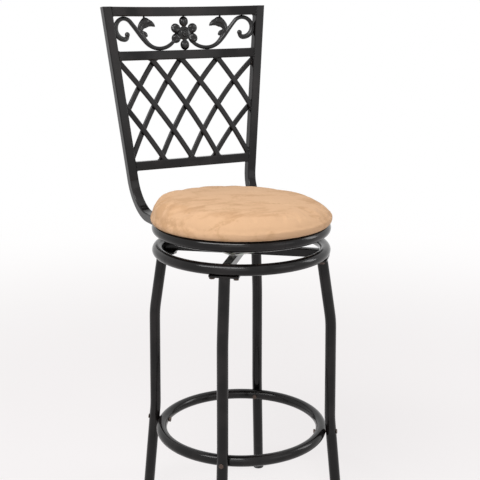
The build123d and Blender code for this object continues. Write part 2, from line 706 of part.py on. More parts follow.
def petal_places():
    """Six petal centres round the flower: one up, one down and two on each side."""
    across, along = PETAL_SIDE
    ends = [(0, PETAL_REACH), (0, -PETAL_REACH)]
    sides = [(x, y) for x in (-across, across) for y in (-along, along)]
    return [Pos(FLOWER_DRIFT + x, FRIEZE_MIDDLE + y) for x, y in ends + sides]


def lug(x, low, high):
    """Small tab that joins a casting to a rail."""
    return Pos(x, (low + high) / 2) * Rectangle(LUG_WIDTH, high - low)


def flower():
    outline = Pos(FLOWER_DRIFT, FRIEZE_MIDDLE) * Circle(FLOWER_CORE_RADIUS)
    for place in petal_places():
        outline += place * Circle(PETAL_RADIUS)
    outline += lug(FLOWER_DRIFT, FRIEZE_LOW, FRIEZE_HIGH)
    middle = BACK_PLANE.offset(-rail_bow(FRIEZE_MIDDLE))
    body = extrude(middle * outline, amount=FRIEZE_THICK / 2, both=True)
    face = middle.offset(FRIEZE_THICK / 2)
    button = Pos(FLOWER_DRIFT, FRIEZE_MIDDLE) * Circle(FLOWER_BUTTON_RADIUS)
    body += extrude(face * button, amount=FLOWER_BUTTON_HEIGHT)
    return body & panel_solid(FRIEZE_LOW, FRIEZE_HIGH)


SCROLL_TURN = degrees(asin(SCROLL_MIDDLE / RAIL_BEND_RADIUS))
SCROLL_DEPTH = RAIL_BEND_RADIUS * cos(radians(SCROLL_TURN)) - bend_centre(FRIEZE_MIDDLE)


def scroll_plane(side):
    """Plane of a scroll: it touches the rails' bend half way along, and X runs from the centre line."""
    touch = Pos(side * SCROLL_MIDDLE, 0, SCROLL_SEAT - SCROLL_DEPTH)
    return BACK_PLANE * touch * Rot(0, -side * SCROLL_TURN, 0) * Pos(-side * SCROLL_MIDDLE, 0, 0)


def along_scroll(x):
    """Distance along a scroll's plane for a distance from the centre line across the back."""
    return SCROLL_MIDDLE + (x - SCROLL_MIDDLE) / cos(radians(SCROLL_TURN))


def scroll_line():
    """Centre line of the right-hand scroll, and the middle of its rising stretch.

    A tail dips to the middle rail, the stem rises in a straight run, loops under the top rail and
    beside the upright, and curls back to its tip.
    """
    rise = radians(SCROLL_RISE)
    tail_radius, tail_turn = SCROLL_TAIL
    edge = SCROLL_WIDTH / 2 + WELD_GAP
    arcs = SCROLL_DIP_RADIUS + SCROLL_LOOP_RADIUS
    straight = (FRIEZE_HEIGHT - 2 * edge - arcs * (1 - cos(rise))) / sin(rise)
    loop_up = FRIEZE_HIGH - edge - SCROLL_LOOP_RADIUS
    loop_out = along_scroll(inner_half(loop_up)) - edge / TAPER_COS
    dip = Vector(loop_out - SCROLL_LOOP_RADIUS - arcs * sin(rise) - straight * cos(rise), FRIEZE_LOW + edge)
    tail = JernArc(dip, (-1, 0), tail_radius, -tail_turn)
    bend = JernArc(dip, (1, 0), SCROLL_DIP_RADIUS, SCROLL_RISE)
    run = Line(bend @ 1, (bend @ 1) + (bend % 1) * straight)
    loop = JernArc(run @ 1, run % 1, SCROLL_LOOP_RADIUS, -SCROLL_RISE - 90)
    curl = JernArc(loop @ 1, loop % 1, SCROLL_CURL_RADIUS, -90)
    tip = JernArc(curl @ 1, curl % 1, SCROLL_TIP_RADIUS, -90)
    return [tail, bend, run, loop, curl, tip], run @ 0.5


def leaf(root):
    """Curled leaf on the inner side of the stem, with a small hook below it."""
    start = root + Vector(*LEAF_ROOT)
    at = start
    edges = []
    for via, end in LEAF_OUTLINE:
        edges.append(ThreePointArc(at, root + Vector(*via), root + Vector(*end)).edge())
        at = root + Vector(*end)
    edges.append(Line(at, start).edge())
    return make_face(edges)


def scroll(side):
    """Cast scroll with its leaf, trimmed to the flower's petals and to the frame."""
    lines, root = scroll_line()
    outline = leaf(root) + lug(root.X - LEAF_LUG_BACK, root.Y, FRIEZE_HIGH)
    for line in lines:
        outline += trace(line, SCROLL_WIDTH)
    outline += Pos(*(lines[-1] @ 0)) * Circle(SCROLL_BUD / 2)
    if side < 0:
        outline = mirror(outline, Plane.YZ)
    casting = extrude(scroll_plane(side) * outline, amount=FRIEZE_THICK / 2, both=True)
    for place in petal_places():
        casting -= extrude(BACK_PLANE * place * Circle(PETAL_RADIUS + WELD_GAP), amount=BACK_DEPTH, both=True)
    return casting & panel_solid(FRIEZE_LOW, FRIEZE_HIGH)


# All pieces, by name

def all_parts():
    through = LEGS["front_right"]
    parts = {
        "base_ring": drilled_ring(RING_RADIUS, BASE_RING_Z, base_drills),
        "base_through_bar": cross_bar(through, -chord_half(CROSS_TUBE / 2)),
        "base_front_stub": cross_bar(LEGS["front_left"], CROSS_TUBE / 2),
        "base_rear_stub": cross_bar(LEGS["rear_right"], CROSS_TUBE / 2),
        "leg_bolts": leg_bolts(),
        "foot_ring": drilled_ring(FOOT_RING_RADIUS, FOOT_RING_Z, foot_drills),
        "foot_ring_bolts": [foot_bolt(bearing) for bearing in LEGS.values()],
        "foot_ring_nuts": [foot_nut(bearing) for bearing in LEGS.values()],
        "swivel_lower_plate": swivel_lower_plate(),
        "lower_plate_bolts": swivel_bolts([lower_plate_seat(bearing) for bearing in LEGS.values()]),
        "lower_ball_race": ball_race(LOWER_PLATE_TOP, BALL_ROW_Z - RACE_GAP / 2),
        "bearing_balls": bearing_balls(),
        "bearing_cage": bearing_cage(),
        "upper_ball_race": ball_race(BALL_ROW_Z + RACE_GAP / 2, UPPER_PLATE_BOTTOM),
        "swivel_upper_plate": swivel_upper_plate(),
        "upper_plate_bolts": swivel_bolts(upper_plate_seats()),
        "pivot_pin": pivot_pin(),
        "pivot_washer": pivot_washer(),
        "pivot_nut": pivot_nut(),
        "seat_ring": quartered_ring(RING_RADIUS, SEAT_RING_Z),
        "seat_bar_left": seat_bar(-1),
        "seat_bar_right": seat_bar(1),
        "seat_screws": seat_screws(),
        "seat_board": seat_board(),
        "seat_foam": seat_foam(),
        "seat_cover": seat_cover(),
        "back_upright_left": back_upright(-1),
        "back_upright_right": back_upright(1),
        "back_lower_rail": straight_rail(LOWER_RAIL_UP),
        "back_middle_rail": bent_rail(MIDDLE_RAIL_UP),
        "back_top_rail": bent_rail(TOP_RAIL_UP),
        "frieze_flower": flower(),
        "frieze_scroll_left": scroll(-1),
        "frieze_scroll_right": scroll(1),
    }
    for name, bearing in LEGS.items():
        parts[f"leg_{name}"] = leg(bearing)
        parts[f"leg_plate_{name}"] = leg_plate(bearing)
        parts[f"glide_{name}"] = glide(bearing)
    parts.update(lattice_bars())
    return parts


os.makedirs("parts", exist_ok=True)
for node, shape in all_parts().items():
    solids = [s for piece in (shape if isinstance(shape, list) else [shape]) for s in piece.solids()]
    export_step(solids[0] if len(solids) == 1 else Compound(children=solids), f"parts/{node}.step")
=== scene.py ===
"""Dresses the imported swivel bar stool: cushion, cast frieze, weld beads, finishes, and a small studio."""
import json
import math

import bmesh
import bpy
from bpy.props import FloatProperty, FloatVectorProperty, IntProperty, PointerProperty
from mathutils import Matrix, Vector, geometry, noise


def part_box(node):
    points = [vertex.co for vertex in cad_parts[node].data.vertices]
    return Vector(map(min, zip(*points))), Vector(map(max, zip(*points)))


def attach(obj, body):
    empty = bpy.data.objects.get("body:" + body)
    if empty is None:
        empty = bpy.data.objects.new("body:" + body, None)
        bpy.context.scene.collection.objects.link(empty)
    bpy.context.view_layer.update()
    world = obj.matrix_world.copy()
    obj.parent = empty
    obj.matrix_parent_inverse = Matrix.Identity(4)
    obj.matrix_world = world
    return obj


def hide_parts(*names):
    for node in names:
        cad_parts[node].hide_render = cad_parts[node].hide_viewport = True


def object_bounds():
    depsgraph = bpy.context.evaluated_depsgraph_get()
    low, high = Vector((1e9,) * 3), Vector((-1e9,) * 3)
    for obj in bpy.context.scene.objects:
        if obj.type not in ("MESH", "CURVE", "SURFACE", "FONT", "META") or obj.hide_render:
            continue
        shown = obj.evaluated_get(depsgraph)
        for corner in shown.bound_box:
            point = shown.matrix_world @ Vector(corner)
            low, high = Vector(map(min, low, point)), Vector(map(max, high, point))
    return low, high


bl_info = {
    "name": "Swivel bar stool",
    "version": (1, 0, 0),
    "blender": (4, 5, 0),
    "location": "View3D > Sidebar > Stool",
    "description": "Dresses the packed swivel bar stool with its cushion, castings, welds and finishes",
    "category": "Object",
}

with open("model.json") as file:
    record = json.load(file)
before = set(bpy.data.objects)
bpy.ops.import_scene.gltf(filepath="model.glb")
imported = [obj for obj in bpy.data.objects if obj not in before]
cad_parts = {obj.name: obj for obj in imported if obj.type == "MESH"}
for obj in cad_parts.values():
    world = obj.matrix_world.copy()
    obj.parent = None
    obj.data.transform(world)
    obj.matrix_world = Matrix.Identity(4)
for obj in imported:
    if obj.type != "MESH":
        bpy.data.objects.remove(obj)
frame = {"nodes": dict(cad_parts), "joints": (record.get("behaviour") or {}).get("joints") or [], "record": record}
CAD_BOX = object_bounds()
MM = 0.001
AXIS_X, AXIS_Y, _ = frame["joints"][0]["pos_m"]
SLOT_OF = {part["node"]: part["material_slot"] for part in frame["record"]["subparts"]}


def middle_of(node):
    low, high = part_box(node)
    return (Vector(low) + Vector(high)) / 2


# Shader building

class Wire:
    """A shader socket that takes part in Python arithmetic through Math nodes."""

    def __init__(self, bench, socket):
        self.bench = bench
        self.socket = socket

    def sum(self, operation, first, second):
        return self.bench.node("ShaderNodeMath", {"operation": operation}, {0: first, 1: second})

    def __add__(self, other):
        return self.sum("ADD", self, other)

    def __radd__(self, other):
        return self.sum("ADD", other, self)

    def __sub__(self, other):
        return self.sum("SUBTRACT", self, other)

    def __rsub__(self, other):
        return self.sum("SUBTRACT", other, self)

    def __mul__(self, other):
        return self.sum("MULTIPLY", self, other)

    def __rmul__(self, other):
        return self.sum("MULTIPLY", other, self)


class Bench:
    """One material or world tree, with a method that adds any node to it."""

    def __init__(self, owner):
        owner.use_nodes = True
        self.owner = owner
        self.tree = owner.node_tree

    def node(self, kind, settings=None, inputs=None, output=0):
        made = self.tree.nodes.new(kind)
        for name, value in (settings or {}).items():
            setattr(made, name, value)
        for socket, value in (inputs or {}).items():
            self.put(made.inputs[socket], value)
        return Wire(self, made.outputs[output])

    def put(self, socket, value):
        if isinstance(value, Wire):
            self.tree.links.new(value.socket, socket)
        else:
            socket.default_value = value

    def light_path(self, output):
        return self.node("ShaderNodeLightPath", output=output)

    def seen_directly(self):
        """1 for rays that show the background: camera, mirror and see-through rays."""
        opaque_rays = self.light_path("Is Camera Ray") + self.light_path("Is Glossy Ray")
        return opaque_rays + self.light_path("Is Transmission Ray")


class Finish(Bench):
    """A surface material on object coordinates, in place of the frame's plain one of the same name."""

    def __init__(self, name):
        if name in bpy.data.materials:
            bpy.data.materials.remove(bpy.data.materials[name])
        super().__init__(bpy.data.materials.new(name))
        self.shader = self.tree.nodes["Principled BSDF"]
        self.place = self.node("ShaderNodeTexCoord", output="Object")

    def surface(self, **sockets):
        for name, value in sockets.items():
            self.put(self.shader.inputs[name.replace("_", " ")], value)
        return self.owner

    def stretched(self, scale, turn=(0.0, 0.0, 0.0)):
        """Object coordinates scaled unevenly, for grain and streaks."""
        return self.node("ShaderNodeMapping", None, {"Vector": self.place, "Scale": scale, "Rotation": turn})

    def grain(self, scale, detail=3.0, rough=0.55, at=None, twist=0.0):
        """Soft noise between 0 and 1, with features of about a metre over its scale."""
        return self.node(
            "ShaderNodeTexNoise",
            None,
            {
                "Vector": at or self.place, "Scale": scale, "Detail": detail, "Roughness": rough,
                "Distortion": twist,
            },
        )

    def step(self, value, low, high, to_low=0.0, to_high=1.0):
        """A smooth step from one level to another."""
        return self.node(
            "ShaderNodeMapRange",
            {"interpolation_type": "SMOOTHSTEP"},
            {"Value": value, "From Min": low, "From Max": high, "To Min": to_low, "To Max": to_high},
        )

    def mix(self, share, first, second):
        """One colour into another by a share."""
        return self.node(
            "ShaderNodeMix",
            {"data_type": "RGBA", "clamp_factor": True},
            {0: share, 6: first, 7: second},
            output=2,
        )

    def bump(self, height, depth, strength):
        return self.node("ShaderNodeBump", None, {"Height": height, "Distance": depth, "Strength": strength})


def opaque(colour):
    return (*colour, 1.0)


# Settings

class StoolFinishes(bpy.types.PropertyGroup):
    paint: FloatVectorProperty(
        name="Frame paint", description="Bronze-black powder coat of the tubes", subtype="COLOR", size=3,
        default=(0.0036, 0.0030, 0.0031), min=0.0, max=1.0,
    )
    # Also the painted highlight on the castings' high points
    paint_worn_and_highlit: FloatVectorProperty(
        name="Paint, worn", description="Paint where it is thin or rubbed", subtype="COLOR", size=3,
        default=(0.020, 0.0165, 0.0165), min=0.0, max=1.0,
    )
    suede: FloatVectorProperty(
        name="Suede", description="Mean colour of the seat cover", subtype="COLOR", size=3,
        default=(0.690, 0.438, 0.262), min=0.0, max=1.0,
    )
    suede_dark: FloatVectorProperty(
        name="Suede, against the nap", description="Where the nap is brushed the other way",
        subtype="COLOR", size=3, default=(0.500, 0.285, 0.145), min=0.0, max=1.0,
    )
    suede_light: FloatVectorProperty(
        name="Suede, with the nap", description="Where the nap lies towards the light",
        subtype="COLOR", size=3, default=(0.780, 0.520, 0.320), min=0.0, max=1.0,
    )
    oxide: FloatVectorProperty(
        name="Fasteners", description="Brown-black oxide of the bolts", subtype="COLOR", size=3,
        default=(0.085, 0.055, 0.042), min=0.0, max=1.0,
    )
    zinc: FloatVectorProperty(
        name="Zinc", description="Plated steel of the swivel", subtype="COLOR", size=3,
        default=(0.52, 0.52, 0.50), min=0.0, max=1.0,
    )
    plywood: FloatVectorProperty(
        name="Plywood", description="Bare wood of the seat board", subtype="COLOR", size=3,
        default=(0.52, 0.36, 0.21), min=0.0, max=1.0,
    )
    glide: FloatVectorProperty(
        name="Glides", description="Black plastic of the feet", subtype="COLOR", size=3,
        default=(0.018, 0.018, 0.018), min=0.0, max=1.0,
    )
    cage: FloatVectorProperty(
        name="Ball cage", description="Natural moulded plastic", subtype="COLOR", size=3,
        default=(0.70, 0.68, 0.62), min=0.0, max=1.0,
    )


class StoolCushion(bpy.types.PropertyGroup):
    radius: FloatProperty(
        name="Radius", description="Widest radius of the cushion", default=208.5 * MM, unit="LENGTH",
    )
    crown: FloatProperty(
        name="Crown", description="Height of the crown above the floor", default=796.0 * MM, unit="LENGTH",
    )
    board_top: FloatProperty(
        name="Board top", description="Height of the board that the cushion sits on", unit="LENGTH",
        default=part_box("seat_board")[1][2],
    )
    ring_top: FloatProperty(
        name="Ring top", description="Height of the seat ring's top", unit="LENGTH",
        default=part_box("seat_ring")[1][2],
    )
    undersize: FloatProperty(
        name="Undersize", description="How much smaller the form starts before it swells", default=3.0 * MM,
        unit="LENGTH",
    )
    swell: FloatProperty(
        name="Swell", description="Most that a point moves as the pad fills", default=6.0 * MM, unit="LENGTH",
    )
    voxel: FloatProperty(
        name="Cloth grid", description="Edge of the cloth's cells", default=5.0 * MM, unit="LENGTH",
    )
    pressure: FloatProperty(name="Pressure", description="Pressure inside the pad", default=4.0)
    frames: IntProperty(name="Frames", description="Length of the simulation", default=20)
    lean: FloatProperty(
        name="Lean", description="Slope of the crown across the view, from a filling that has shifted",
        default=math.radians(1.9), unit="ROTATION",
    )
    roll: FloatProperty(
        name="Roll", description="Radius of the lower edge", default=11.0 * MM, unit="LENGTH",
    )
    tuck: FloatProperty(
        name="Tuck", description="How far the cover turns under the board", default=1.5 * MM, unit="LENGTH",
    )
    left_fill: FloatProperty(
        name="Left fill", description="Extra height of the fuller left end", default=8.0 * MM, unit="LENGTH",
    )
    gathers: FloatProperty(
        name="Gathers", description="Depth of the small folds round the lower edge",
        default=0.3 * MM, unit="LENGTH",
    )


class StoolBack(bpy.types.PropertyGroup):
    recline: FloatProperty(
        name="Recline", description="Lean of the back", default=math.radians(5.12), unit="ROTATION",
    )
    tube: FloatProperty(name="Tube", description="Side of the square tube", default=22.2 * MM, unit="LENGTH")
    bend: FloatProperty(
        name="Rail bend", description="Radius that the upper rails are bent to",
        default=700.0 * MM, unit="LENGTH",
    )
    lower_rail: FloatProperty(
        name="Lower rail", description="Height up the slope", default=110.0 * MM, unit="LENGTH",
    )
    middle_rail: FloatProperty(
        name="Middle rail", description="Height up the slope", default=375.0 * MM, unit="LENGTH",
    )
    top_rail: FloatProperty(
        name="Top rail", description="Height up the slope", default=479.5 * MM, unit="LENGTH",
    )
    low_width: FloatProperty(
        name="Low width", description="Outer width at the lower rail", default=352.0 * MM, unit="LENGTH",
    )
    top_width: FloatProperty(
        name="Top width", description="Outer width at the top rail", default=428.5 * MM, unit="LENGTH",
    )

    def taper(self):
        return (self.top_width - self.low_width) / 2 / (self.top_rail - self.lower_rail)

    def inner_half(self, up):
        """Half the clear width between the uprights some way up the slope."""
        lean = math.hypot(1.0, self.taper())
        return self.low_width / 2 + self.taper() * (up - self.lower_rail) - self.tube * lean

    def frieze_middle(self):
        return (self.middle_rail + self.top_rail) / 2

    def frieze_reach(self):
        """Half the clear height between the upper rails."""
        return (self.top_rail - self.middle_rail - self.tube) / 2

    def up_axis(self):
        return Vector((0.0, math.sin(self.recline), math.cos(self.recline)))

    def front_axis(self):
        return Vector((0.0, -math.cos(self.recline), math.sin(self.recline)))

    def point(self, x, up, front):
        """World place of a point across the back, up its slope and ahead of its middle plane."""
        start = middle_of("back_lower_rail")
        start.x = AXIS_X + x
        return start + self.up_axis() * (up - self.lower_rail) + self.front_axis() * front

    def bent(self, along, up, front):
        """World place of a point of the frieze, measured along the rails' bend."""
        angle = along / self.bend
        centre = math.sqrt(self.bend**2 - self.inner_half(up) ** 2)
        reach = self.bend - front
        return self.point(reach * math.sin(angle), up, centre - reach * math.cos(angle))


class StoolFrieze(bpy.types.PropertyGroup):
    stem_width: FloatProperty(
        name="Stem width", description="Width of the scroll's stem", default=10.0 * MM, unit="LENGTH",
    )
    depth: FloatProperty(
        name="Depth", description="Thickness of the castings", default=10.0 * MM, unit="LENGTH",
    )
    rise: FloatProperty(
        name="Rise", description="Steepness of the stem's straight run",
        default=math.radians(49), unit="ROTATION",
    )
    tail_radius: FloatProperty(
        name="Tail radius", description="Bend of the tail", default=55.0 * MM, unit="LENGTH",
    )
    tail_turn: FloatProperty(
        name="Tail turn", description="Length of the tail", default=math.radians(45), unit="ROTATION",
    )
    dip_radius: FloatProperty(
        name="Dip radius", description="Bend at the dip", default=48.0 * MM, unit="LENGTH",
    )
    loop_radius: FloatProperty(
        name="Loop radius", description="Bend of the loop", default=25.0 * MM, unit="LENGTH",
    )
    curl_radius: FloatProperty(
        name="Curl radius", description="Bend of the curl", default=24.0 * MM, unit="LENGTH",
    )
    tip_radius: FloatProperty(
        name="Tip radius", description="Bend at the tip", default=9.0 * MM, unit="LENGTH",
    )
    petal: FloatProperty(name="Petal", description="Radius of a petal", default=12.5 * MM, unit="LENGTH")
    petal_reach: FloatProperty(
        name="Petal reach", description="Place of the upper and lower petals",
        default=28.5 * MM, unit="LENGTH",
    )
    flower_drift: FloatProperty(
        name="Flower drift", description="How far off centre the flower sits",
        default=5.5 * MM, unit="LENGTH",
    )
    voxel: FloatProperty(
        name="Casting grid", description="Cell that the lumps of a casting are fused on", default=0.8 * MM,
        unit="LENGTH",
    )


class StoolWelds(bpy.types.PropertyGroup):
    bead: FloatProperty(name="Bead", description="Radius of a weld bead", default=1.7 * MM, unit="LENGTH")
    pitch: FloatProperty(
        name="Pitch", description="Distance between ripples", default=2.2 * MM, unit="LENGTH",
    )


class StoolStudio(bpy.types.PropertyGroup):
    floor: FloatVectorProperty(
        name="Floor", description="Colour of the floor", subtype="COLOR", size=3,
        default=(0.88, 0.86, 0.865), min=0.0, max=1.0,
    )
    floor_reach: FloatProperty(
        name="Floor reach", description="Radius of the floor", default=14.0, unit="LENGTH",
    )
    ambient: FloatProperty(name="Ambient", description="Level of the light from all round", default=0.36)
    lens: FloatProperty(name="Lens", description="Focal length in millimetres", default=75.04)
    heading: FloatProperty(
        name="Heading", description="Camera's turn from straight ahead", default=math.radians(27.12),
        unit="ROTATION",
    )
    pitch: FloatProperty(
        name="Pitch", description="Camera's tilt downwards", default=math.radians(14.09), unit="ROTATION",
    )
    camera: FloatVectorProperty(
        name="Camera", description="Camera's place from the foot of the swivel axis",
        size=3, subtype="TRANSLATION", default=(-1.0263, -1.9969, 1.2554),
    )


class StoolSettings(bpy.types.PropertyGroup):
    finishes: PointerProperty(type=StoolFinishes)
    cushion: PointerProperty(type=StoolCushion)
    back: PointerProperty(type=StoolBack)
    frieze: PointerProperty(type=StoolFrieze)
    welds: PointerProperty(type=StoolWelds)
    studio: PointerProperty(type=StoolStudio)


# Finishes

# Direction of the suede's strokes, then fixed tones beside those of the settings
BRUSHING = math.radians(27)
WHITE = (1.0, 1.0, 1.0, 1.0)
BARE_STEEL = (0.16, 0.145, 0.135, 1.0)
# Near black for the castings' hollows: painted shade
CASTING_HOLLOW_SHADE = (0.002, 0.002, 0.002, 1.0)
SUEDE_SHEEN = (1.0, 0.90, 0.78, 1.0)
DARK_OXIDE = (0.030, 0.022, 0.019, 1.0)
DULL_ZINC = (0.26, 0.245, 0.22, 1.0)
VENEER_FIGURE = (0.36, 0.22, 0.11, 1.0)
VENEER_PORES = (0.25, 0.15, 0.08, 1.0)
PLY_EDGES = (0.30, 0.18, 0.09, 1.0)
PLASTIC_SHADE = 0.7


def frame_paint(name, tones):
    """Satin powder coat: a faint mottle, an orange-peel skin and a few small chips."""
    finish = Finish(name)
    cloud = finish.grain(16.0, 4.0)
    speck = finish.grain(420.0, 2.0)
    tone = finish.mix(finish.step(cloud, 0.44, 0.66) * 0.5, opaque(tones.paint), opaque(tones.paint_worn_and_highlit))
    chips = finish.step(finish.grain(95.0, 5.0, 0.7), 0.735, 0.755)
    tone = finish.mix(speck * 0.12, tone, opaque(tones.paint_worn_and_highlit))
    tone = finish.mix(chips, tone, BARE_STEEL)
    gloss = 0.11 + finish.step(cloud, 0.35, 0.7) * 0.08 + speck * 0.04 + chips * 0.2
    peel = finish.grain(1100.0, 2.0) * 0.1 + finish.grain(160.0, 2.0) * 0.4
    skin = peel + finish.grain(48.0) * 2 - chips * 0.8
    return finish.surface(
        Base_Color=tone, Roughness=gloss, Specular_IOR_Level=0.26, Normal=finish.bump(skin, 0.00012, 0.6)
    )


def cast_paint(name, tones):
    """The same coat over a sand casting: coarser skin, lighter on the high points as rubbed wear and a painted
    highlight, and near black in the hollows as painted shade.
    """
    finish = Finish(name)
    edge = finish.node("ShaderNodeNewGeometry", output="Pointiness")
    cloud = finish.grain(60.0, 4.0)
    # Lighter on the high points: partly rubbed wear, partly a painted highlight
    rubbed_and_highlit = finish.step(edge + (cloud - 0.5) * 0.06, 0.515, 0.60)
    # Near black in the hollows: painted shade
    hollow_shade = 1 - finish.step(edge, 0.40, 0.50)
    tone = finish.mix(rubbed_and_highlit * 0.55, opaque(tones.paint), opaque(tones.paint_worn_and_highlit))
    tone = finish.mix(hollow_shade * 0.6, tone, CASTING_HOLLOW_SHADE)
    skin = finish.grain(700.0, 3.0) + finish.grain(220.0, 2.0) * 0.8
    gloss = 0.22 - rubbed_and_highlit * 0.04 + cloud * 0.06
    return finish.surface(
        Base_Color=tone, Roughness=gloss, Specular_IOR_Level=0.4, Normal=finish.bump(skin, 0.00022, 0.6)
    )


def suede(name, tones):
    """Brushed microfibre: nap laid in broad patches and finger streaks, over a fine pile."""
    finish = Finish(name)
    brushed = finish.stretched((0.30, 1.0, 1.0), (0.0, 0.0, BRUSHING))
    patches = finish.grain(8.0, 3.0, 0.5, twist=0.6)
    strokes = finish.grain(24.0, 3.0, 0.55, at=brushed, twist=0.9)
    fine = finish.grain(150.0, 4.0, 0.65)
    pile = finish.grain(1900.0, 2.0)
    crossing = finish.grain(11.0, 2.0, at=brushed) - 0.5
    off_mark = finish.node("ShaderNodeMath", {"operation": "ABSOLUTE"}, {0: crossing})
    marks = finish.step(off_mark + (fine - 0.5) * 0.05, 0.0, 0.035, 1.0, 0.0)
    marks = marks * finish.step(patches, 0.47, 0.56)
    dark = finish.step(patches * 0.45 + strokes * 0.55 + (fine - 0.5) * 0.3, 0.49, 0.59)
    light = finish.step(strokes * 0.6 + fine * 0.4, 0.51, 0.60)
    tone = finish.mix(light * 0.6, opaque(tones.suede), opaque(tones.suede_light))
    tone = finish.mix(dark * 0.6, tone, opaque(tones.suede_dark))
    tone = finish.mix(marks * 0.45, tone, opaque(tones.suede_dark))
    tone = finish.mix(finish.step(pile, 0.35, 0.65) * 0.14, tone, opaque(tones.suede_dark))
    skin = pile * 0.5 + fine * 0.8 + strokes * 1.2
    return finish.surface(
        Base_Color=tone,
        Roughness=0.94,
        Specular_IOR_Level=0.12,
        Sheen_Weight=0.10,
        Sheen_Roughness=0.45,
        Sheen_Tint=SUEDE_SHEEN,
        Normal=finish.bump(skin, 0.0006, 0.45),
    )


def oxide_steel(name, tones):
    """Brown-black oxide, a little uneven."""
    finish = Finish(name)
    cloud = finish.grain(260.0, 4.0)
    tone = finish.mix(finish.step(cloud, 0.4, 0.7) * 0.6, opaque(tones.oxide), DARK_OXIDE)
    return finish.surface(
        Base_Color=tone, Metallic=0.35, Roughness=0.36 + cloud * 0.14, Normal=finish.bump(cloud, 0.0001, 0.4)
    )


def zinc_plate(name, tones):
    """Plated steel with faint spangle and a film of grease."""
    finish = Finish(name)
    spangle = finish.node(
        "ShaderNodeTexVoronoi", None, {"Vector": finish.place, "Scale": 240.0}, output="Color"
    )
    dull = finish.grain(45.0, 4.0)
    tone = finish.mix(finish.step(dull, 0.45, 0.75) * 0.5, opaque(tones.zinc), DULL_ZINC)
    tone = finish.mix(0.06, tone, spangle)
    return finish.surface(
        Base_Color=tone, Metallic=1.0, Roughness=0.30 + dull * 0.16, Normal=finish.bump(dull, 0.0001, 0.3)
    )


def plywood(name, tones):
    """Rotary-cut veneer along the seat, with the plies' bands on the board's edge."""
    finish = Finish(name)
    figure = finish.grain(26.0, 5.0, 0.6, at=finish.stretched((6.0, 0.6, 1.0)), twist=1.2)
    pores = finish.grain(240.0, 3.0, 0.6, at=finish.stretched((5.0, 0.4, 1.0)))
    plies = finish.node(
        "ShaderNodeTexWave",
        {"bands_direction": "Z"},
        {"Vector": finish.place, "Scale": 105.0, "Distortion": 0.6},
    )
    tone = finish.mix(finish.step(figure, 0.4, 0.65) * 0.6, opaque(tones.plywood), VENEER_FIGURE)
    tone = finish.mix(finish.step(pores, 0.6, 0.75) * 0.4, tone, VENEER_PORES)
    tone = finish.mix(plies * 0.22, tone, PLY_EDGES)
    return finish.surface(
        Base_Color=tone, Roughness=0.62 + pores * 0.15, Normal=finish.bump(pores, 0.0003, 0.4)
    )


def moulded_plastic(name, colour, rough):
    """Plain plastic with a fine moulded grain."""
    finish = Finish(name)
    cloud = finish.grain(70.0, 3.0)
    darker = tuple(PLASTIC_SHADE * part for part in colour)
    tone = finish.mix(cloud * 0.5, opaque(colour), opaque(darker))
    skin = finish.grain(1400.0, 2.0)
    return finish.surface(
        Base_Color=tone, Roughness=rough + cloud * 0.1, Normal=finish.bump(skin, 0.0001, 0.4)
    )


class STOOL_OT_finishes(bpy.types.Operator):
    """Give every CAD node that stays in view its finish"""

    bl_idname = "stool.finishes"
    bl_label = "Finishes"

    def execute(self, context):
        tones = context.scene.stool.finishes
        made = {
            "frame_paint": frame_paint("frame_paint", tones),
            "cast_ornament": cast_paint("cast_ornament", tones),
            "dark_fasteners": oxide_steel("dark_fasteners", tones),
            "swivel_steel": zinc_plate("swivel_steel", tones),
            "cage_plastic": moulded_plastic("cage_plastic", tones.cage, rough=0.42),
            "seat_plywood": plywood("seat_plywood", tones),
            "seat_fabric": suede("seat_fabric", tones),
            "glide_plastic": moulded_plastic("glide_plastic", tones.glide, rough=0.5),
        }
        made["seat_foam"] = made["seat_fabric"]
        for node, piece in frame["nodes"].items():
            piece.data.materials.clear()
            piece.data.materials.append(made[SLOT_OF[node]])
        return {"FINISHED"}


# Pieces

def new_piece(name, body, slot, shape):
    """A piece from a bmesh, smooth, in its slot's finish, riding on a body."""
    mesh = bpy.data.meshes.new(name)
    shape.to_mesh(mesh)
    shape.free()
    piece = bpy.data.objects.new(name, mesh)
    bpy.context.scene.collection.objects.link(piece)
    mesh.materials.append(bpy.data.materials[slot])
    mesh.shade_smooth()
    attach(piece, body)
    return piece


def bake_modifiers(piece):
    """Make what the modifiers show the piece's own mesh."""
    shown = piece.evaluated_get(bpy.context.evaluated_depsgraph_get())
    baked = bpy.data.meshes.new_from_object(shown)
    piece.modifiers.clear()
    old = piece.data
    piece.data = baked
    bpy.data.meshes.remove(old)


def fuse(piece, cell):
    """Turn a piece's overlapping lumps into one skin on a grid."""
    remesh = piece.modifiers.new("fuse", "REMESH")
    remesh.mode = "VOXEL"
    remesh.voxel_size = cell
    remesh.use_smooth_shade = True
    bake_modifiers(piece)


def each_point(piece, move):
    """Move every vertex of a piece."""
    for vertex in piece.data.vertices:
        vertex.co = move(vertex.co)
    piece.data.update()


# Cushion

# Turned outline, from the middle of the underside to the crown, in shares of the radius and of the height
CUSHION_OUTLINE = (
    (0.0, 0.0), (0.45, 0.0), (0.80, 0.0), (0.968, 0.0), (0.986, 0.03), (0.997, 0.09), (1.0, 0.22),
    (0.997, 0.36), (0.985, 0.48), (0.962, 0.61), (0.925, 0.71), (0.87, 0.785), (0.76, 0.855),
    (0.58, 0.925), (0.32, 0.98), (0.0, 1.0),
)
CUSHION_STEPS = 96

# Cloth: the share of the underside that is held, and the solver's values
HELD_SHARE = 0.96
CLOTH_MASS = 0.3
CLOTH_QUALITY = 6

